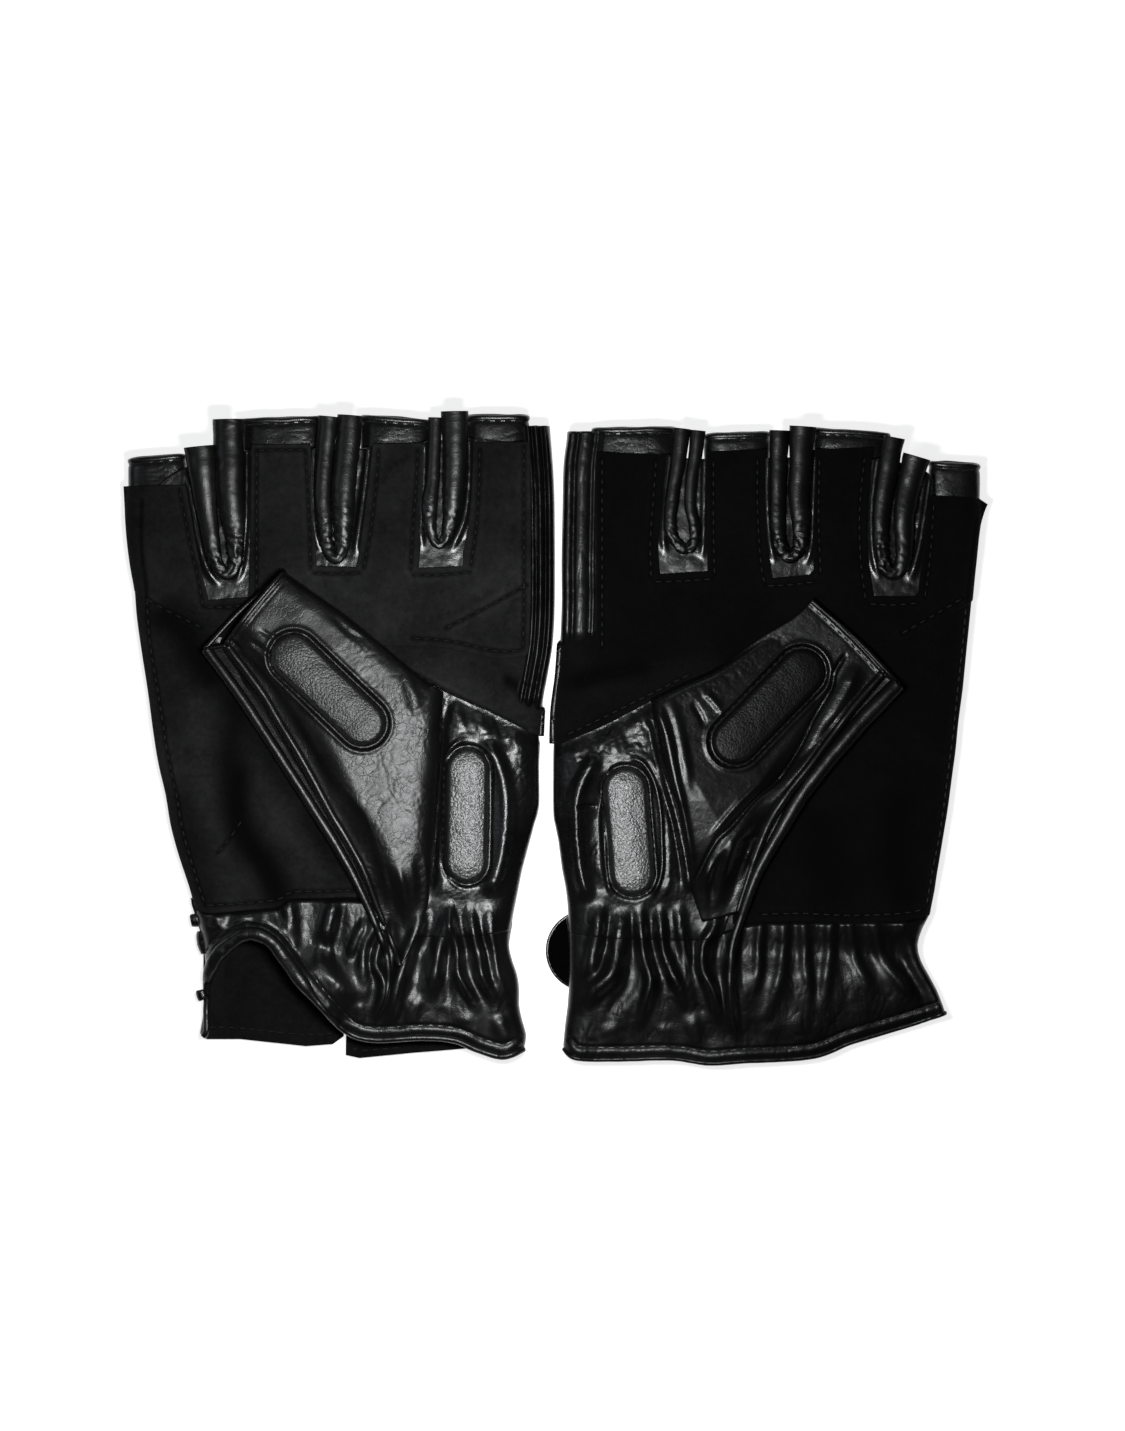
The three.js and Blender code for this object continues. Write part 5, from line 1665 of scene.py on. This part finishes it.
# ------------------------------------------------------------------ cuffs
def build_elastic(glove):
    """a ribbed strip inside the cuff"""
    node = glove.side + "_cuff_elastic"
    x0, x1, y0, y1, z0, z1 = box_mm(node)
    if glove.sign > 0:
        x0 = max(x0, grid_x(300))

    def top(points):
        z = np.minimum(cuff_surface(glove, points) - 1.5, z1 - 0.05)
        return z + 0.09 * np.sin(points[:, 1] * 2 * math.pi / 1.1) + 0.05 * noise(points, 4, 5)
    make(node + "_band", sheet(rectangle(x0, x1, y0, y1), top, z1 - z0, edge=0.2, rings=(0.15,)),
         LOOP, "elastic", body=glove.side + "_hand", replaces=[node])


def build_cuff(glove):
    side, sign, hem = glove.side, glove.sign, glove.cuff_hem
    surface = lambda points: cuff_surface(glove, points)
    make(side + "_cuff_leather",
         sheet(glove.cuff, surface, 0.8, step=0.4, edge=0.35, under_step=1.2),
         CUFF_LEATHER[sign], body=side + "_hand", replaces=[side + "_cuff_palm_panel"])
    path = spline(np.c_[hem, surface(hem) - (0.05 if sign > 0 else 0.3)], 0.55)
    wide, tall = 0.62, 0.6
    if sign > 0:  # thicker round the arch
        arch = curve("216,965 226,948 244,936 262,936 280,952 300,980")
        swell = bell(gap(path[:, :2], arch), 5.0)
        wide, tall = 0.85 + 1.0 * swell, 0.8 + 0.7 * swell
    make(side + "_cuff_piping",
         sweep(path, wide, tall, bump=wrinkle(0.07, 5, 75, 3, crease=0.05)),
         CUFF_LEATHER[sign], body=side + "_hand", replaces=[side + "_cuff_hem_binding"])
    # hem stitches run just inside the piping
    line = offset_line(hem, 3.3)
    within = np.nonzero(inside(line, glove.cuff))[0]
    stitch(glove, "cuff", line[within[0]:within[-1] + 1], surface, pitch=2.6, length=1.8)
    build_elastic(glove)


for glove in GLOVES:
    build_cuff(glove)

# ------------------------------------------------------------------ backs of the gloves
RIGHT.back_top = pts("""547,443 466,443 464,446 448,556 440,563 436,563 424,552 430,446 428,443
    364,443 362,446 354,566 337,576 322,566 320,446 318,443 245,443 243,446 236,580 226,590
    212,580 186,484 182,482""")
LEFT.back_top = pts("""594,455 672,455 674,458 668,548 684,562 698,552 705,458 707,455 766,455
    768,458 774,560 790,574 806,562 815,458 817,455 886,455 888,458 876,576 892,592 908,580
    931,500 934,497""")
RIGHT.back_bottom = pts("500,909 360,909 200,909")
LEFT.back_bottom = pts("600,909 760,909 915,909")
# v where the back starts on the little-finger side and on the thumb side
RIGHT.back_start, LEFT.back_start = (486, 444), (500, 456)
# v where the little-finger side ends, then the wrist and vent edges of the two cuff halves
RIGHT.cuff_end, LEFT.cuff_end = 1036, 1013
RIGHT.outer_half = "206,1040 239,1040 305,1047 332,1045 343,1037 343.4,960 343,903"
RIGHT.inner_half = "345.6,903 346,980 345,1056 359,1059 410,1054 470,1049 500,1052"
LEFT.outer_half = "930,1018 880,1030 820,1046 764,1052 763.6,980 764,903"
LEFT.inner_half = "761.4,903 761,980 762,1053 700,1056 620,1052 575,1052"
# folds of the right cuff's lining: points, height mm, half width mm
LINING_FOLDS = [
    ("230,982 232,966 246,953 262,951 280,958", 2.0, 1.7),
    ("214,1034 222,1006 240,990 262,992", 0.8, 1.3),
    ("256,972 276,984 300,1004", 1.1, 1.2), ("222,960 214,990 210,1020", 0.7, 1.0),
    ("262,1008 290,1002 318,1018", 0.5, 2.2), ("243,972 254,966 268,968", 0.6, 0.8)]


def edge_rise(glove, points, radius, low, high):
    """top of the back layer, which curls up at the sides"""
    return low + (high - low) * (1 - dome(edge_dist(glove, points), radius))


def side_between(line, first, last, shift):
    """a side seam between two v, moved by shift mm in x"""
    c = spline(line)
    c = c[(c[:, 1] <= grid_y(first)) & (c[:, 1] >= grid_y(last))]
    return c + np.array([shift, 0.0])


def build_back_panel(glove):
    side, shift = glove.side, 0.5 * glove.sign
    little_start, thumb_start = glove.back_start
    little = side_between(glove.little, little_start, 908, shift)
    thumb = side_between(glove.thumbside, thumb_start, 908, -shift)
    border = np.vstack([thumb[::-1], glove.back_top, little, glove.back_bottom[::-1]])

    def top(points):
        return edge_rise(glove, points, 3.6, 0.95, 4.1) + 0.12 * fbm(points, 14, 111, 2)

    def under(points):
        return np.maximum(top(points) - 0.8, 0.05) + 0.04 * noise(points, 6, 113)
    make(side + "_back_leather",
         sheet(border, top, step=1.3, edge=0.3, rings=(0.25,), under=under, under_step=1.6),
         SMOOTH, blend=knuckle(glove), replaces=[side + "_back_panel", side + "_back_fingers"])


def build_back_cuff(glove):
    """the two halves on either side of the vent, each with its lining"""
    side, shift, right = glove.side, 0.5 * glove.sign, glove.sign > 0
    little = side_between(glove.little, 903, glove.cuff_end, shift)
    thumb = side_between(glove.thumbside, 903, 1050, -shift)

    def top(points):
        z = edge_rise(glove, points, 3.4, 1.0, 4.0) + 0.18 * fbm(points, 9, 115, 2)
        return z + 0.5 * bell(points[:, 1] - grid_y(1046), 3.0)

    def lining(points):
        z = top(points) + 0.75
        below = points[:, 1] - grid_y(1034 if right else 1040)
        z += 0.25 * bell(below, 0.7) - 0.2 * bell(below - 1.2, 0.5)
        z -= 0.2 * creases(points, 80, 6.0, 2.0, 119)
        if right:
            ridges(z, points, LINING_FOLDS, 1.0, 0.2)
        z += 0.14 * fbm(points, 3.0, 123, 3)
        return np.maximum(z, top(points) + 0.2)
    halves = (("outer", outline(little, glove.outer_half)),
              ("inner", outline(thumb[::-1], glove.inner_half)))
    for half, border in halves:
        name = f"{side}_back_cuff_{half}"
        make(name + "_leather",
             sheet(border, top, step=0.9, edge=0.3, rings=(0.2,), under_step=1.8,
                   under=lambda points: np.maximum(top(points) - 0.75, 0.05)),
             SMOOTH, body=side + "_hand", replaces=[f"{side}_cuff_back_{half}"])
        make(name + "_lining",
             sheet(border, lining, 0.5, step=0.6, edge=0.2, rings=(0.15,), under_step=1.6),
             FLESH_SIDE, "suede", body=side + "_hand")
    if right:
        for text in ("206,1028 240,1029 300,1035 334,1034", "350,1048 362,1051 400,1048"):
            stitch(glove, "cuff", curve(text), lining, pitch=2.5, length=1.7)


def build_loop_tape(glove):
    node = glove.side + "_strap_loop_patch"
    x0, x1, y0, y1, z0, z1 = box_mm(node)
    make(glove.side + "_loop_tape",
         sheet(rectangle(x0, x1, y0, y1), lambda points: z1 - 0.02 + 0.1 * noise(points, 1.2, 7),
               z1 - z0, edge=0.15, rings=(0.15,)),
         LOOP, "loop", body=glove.side + "_hand", replaces=[node])


# ------------------------------------------------------------------ closure straps
def tongue(x_root, x_end, mid_y, half):
    """a strip with a square root and a rounded end"""
    s = 1 if x_end > x_root else -1
    t = np.linspace(-math.pi / 2, math.pi / 2, 30)
    arc = np.c_[x_end - s * half + s * half * np.cos(t), mid_y + half * np.sin(t)]
    return np.vstack([[(x_root, mid_y - half)], arc, [(x_root, mid_y + half)]])


def build_strap(glove):
    side, sign = glove.side, glove.sign
    x0, x1, y0, y1, _, _ = box_mm(side + "_closure_strap")
    mid_y, half = (y0 + y1) / 2, (y1 - y0) / 2
    root, end = (x0, x1) if sign > 0 else (x1, x0)
    seam = tongue(root + 1.5 * sign, end - 1.6 * sign, mid_y, half - 1.6)

    def top(points):
        z = STRAP_TOP - 0.05 + 0.10 * fbm(points, 10, 121, 2)
        return z - 0.18 * bell(gap(points, seam), 0.4)
    make(side + "_closure_strap_leather",
         sheet(tongue(root, end, mid_y, half), top, step=0.55, edge=0.35, under_step=1.4,
               under=lambda points: 0.22 + 0.03 * noise(points, 5, 3)),
         SMOOTH, body=side + "_strap", replaces=[side + "_closure_strap"])
    x0, x1, _, _, _, z1 = box_mm(side + "_strap_hook_pad")

    def hooks(points):
        weave = np.sin(points[:, 0] * 5.2) * np.sin(points[:, 1] * 5.2)
        return z1 - 0.05 + 0.12 * noise(points, 0.9, 9) + 0.05 * weave
    border = tongue(x0 if sign > 0 else x1, end - 0.55 * sign, mid_y, half - 0.55)
    make(side + "_hook_tape",
         sheet(border, hooks, z1 - STRAP_TOP + 0.05, step=0.4, edge=0.2, rings=(0.15,)),
         HOOK, "hook", body=side + "_strap", replaces=[side + "_strap_hook_pad"])
    make(side + "_strap_thread", stitch_run(straight(seam, 0.8), top, 2.5, 1.75, 0.19, seed=7),
         THREAD, body=side + "_strap")


def build_strap_root():
    """the sewn root of the right glove's strap folds up past the little-finger side of the cuff"""
    parts = []
    for text, wide, tall in (("190,921 197,920 205,922", 1.75, 1.2),
                             ("203,931 204,942 207,953", 2.0, 1.7),
                             ("200,990 201,995 203,1000", 1.4, 1.2)):
        line = curve(text, 0.3)
        f = np.linspace(0, 1, len(line))
        k = 0.8 + 0.2 * np.sqrt(np.clip(1 - (2 * f - 1) ** 4, 0, 1))
        parts.append(sweep(np.c_[line, np.full(len(line), 3.6)], wide * k, tall * k,
                           bump=wrinkle(0.10, 2.5, 141, 3, stretch=1)))
    make("right_strap_root_fold", join(parts), SMOOTH, body="right_hand")


build_strap_root()
for glove in GLOVES:
    build_back_panel(glove)
    build_back_cuff(glove)
    build_loop_tape(glove)
    build_strap(glove)


# ------------------------------------------------------------------ sewing thread
def build_threads(glove):
    for group in ("palm", "patch", "heel", "cuff", "fingers", "thumb"):
        mesh = join(THREAD_RUNS[glove.side, group])
        name = f"{glove.side}_{group}_thread"
        if group == "thumb":
            thumb_make(glove, "thread", mesh, THREAD)
        elif group in ("palm", "patch"):
            make(name, mesh, THREAD, blend=knuckle(glove))
        else:
            body = "_fingers" if group == "fingers" else "_hand"
            make(name, mesh, THREAD, body=glove.side + body)


for glove in GLOVES:
    build_threads(glove)


# ------------------------------------------------------------------ table top, light, camera
def build_table():
    material = bpy.data.materials.new("table_top")
    material.use_nodes = True
    inputs = material.node_tree.nodes["Principled BSDF"].inputs
    inputs["Base Color"].default_value = (0.55, 0.55, 0.555, 1)
    inputs["Roughness"].default_value = 0.75
    inputs["Emission Color"].default_value = (1.0, 1.0, 1.0, 1)
    inputs["Emission Strength"].default_value = 0.80
    inputs["Specular IOR Level"].default_value = 0.2
    me = bpy.data.meshes.new("table")
    me.from_pydata([(-3, -3, 0), (3, -3, 0), (3, 3, 0), (-3, 3, 0)], [], [(0, 1, 2, 3)])
    me.materials.append(material)
    table = bpy.data.objects.new("table", me)
    bpy.context.scene.collection.objects.link(table)


def area_light(name, at, target, size, power, colour):
    data = bpy.data.lights.new(name, "AREA")
    data.shape = "RECTANGLE"
    data.size, data.size_y = size
    data.energy = power
    data.color = colour
    light = bpy.data.objects.new(name, data)
    light.location = at
    aim = Vector(target) - Vector(at)
    light.rotation_euler = aim.to_track_quat("-Z", "Y").to_euler()
    bpy.context.scene.collection.objects.link(light)


def build_camera():
    """looks straight down"""
    height = 1.5
    framed = 0.37206       # height of the framed field, at focus_z
    focus_z = 0.006
    data = bpy.data.cameras.new("camera")
    data.sensor_fit = "VERTICAL"
    data.sensor_height = 36
    data.lens = 36 * (height - focus_z) / framed
    camera = bpy.data.objects.new("camera", data)
    camera.location = (MID_X * 0.001 + 0.0025, MID_Y * 0.001 + 0.0060, height)
    camera.rotation_euler = (0, 0, 0)
    bpy.context.scene.collection.objects.link(camera)
    bpy.context.scene.camera = camera


build_table()
area_light("overhead", at=(-0.0145, -0.016, 0.26), target=(-0.012, -0.016, 0.0),
           size=(0.05, 0.08), power=0.95, colour=(0.98, 0.99, 1.0))
area_light("fill_left", at=(-1.3, 0.3, 1.3), target=(0, 0, 0),
           size=(0.5, 0.8), power=2.0, colour=(0.86, 0.92, 1.0))
area_light("fill_top", at=(0.1, 1.5, 1.2), target=(0, 0, 0),
           size=(0.9, 0.4), power=3.0, colour=(0.95, 0.98, 1.0))
world = bpy.data.worlds.new("room")
world.use_nodes = True
background = world.node_tree.nodes["Background"]
background.inputs["Color"].default_value = (0.93, 0.95, 1.0, 1)
background.inputs["Strength"].default_value = 0.02
bpy.context.scene.world = world
build_camera()
bpy.context.scene.view_settings.view_transform = "Standard"
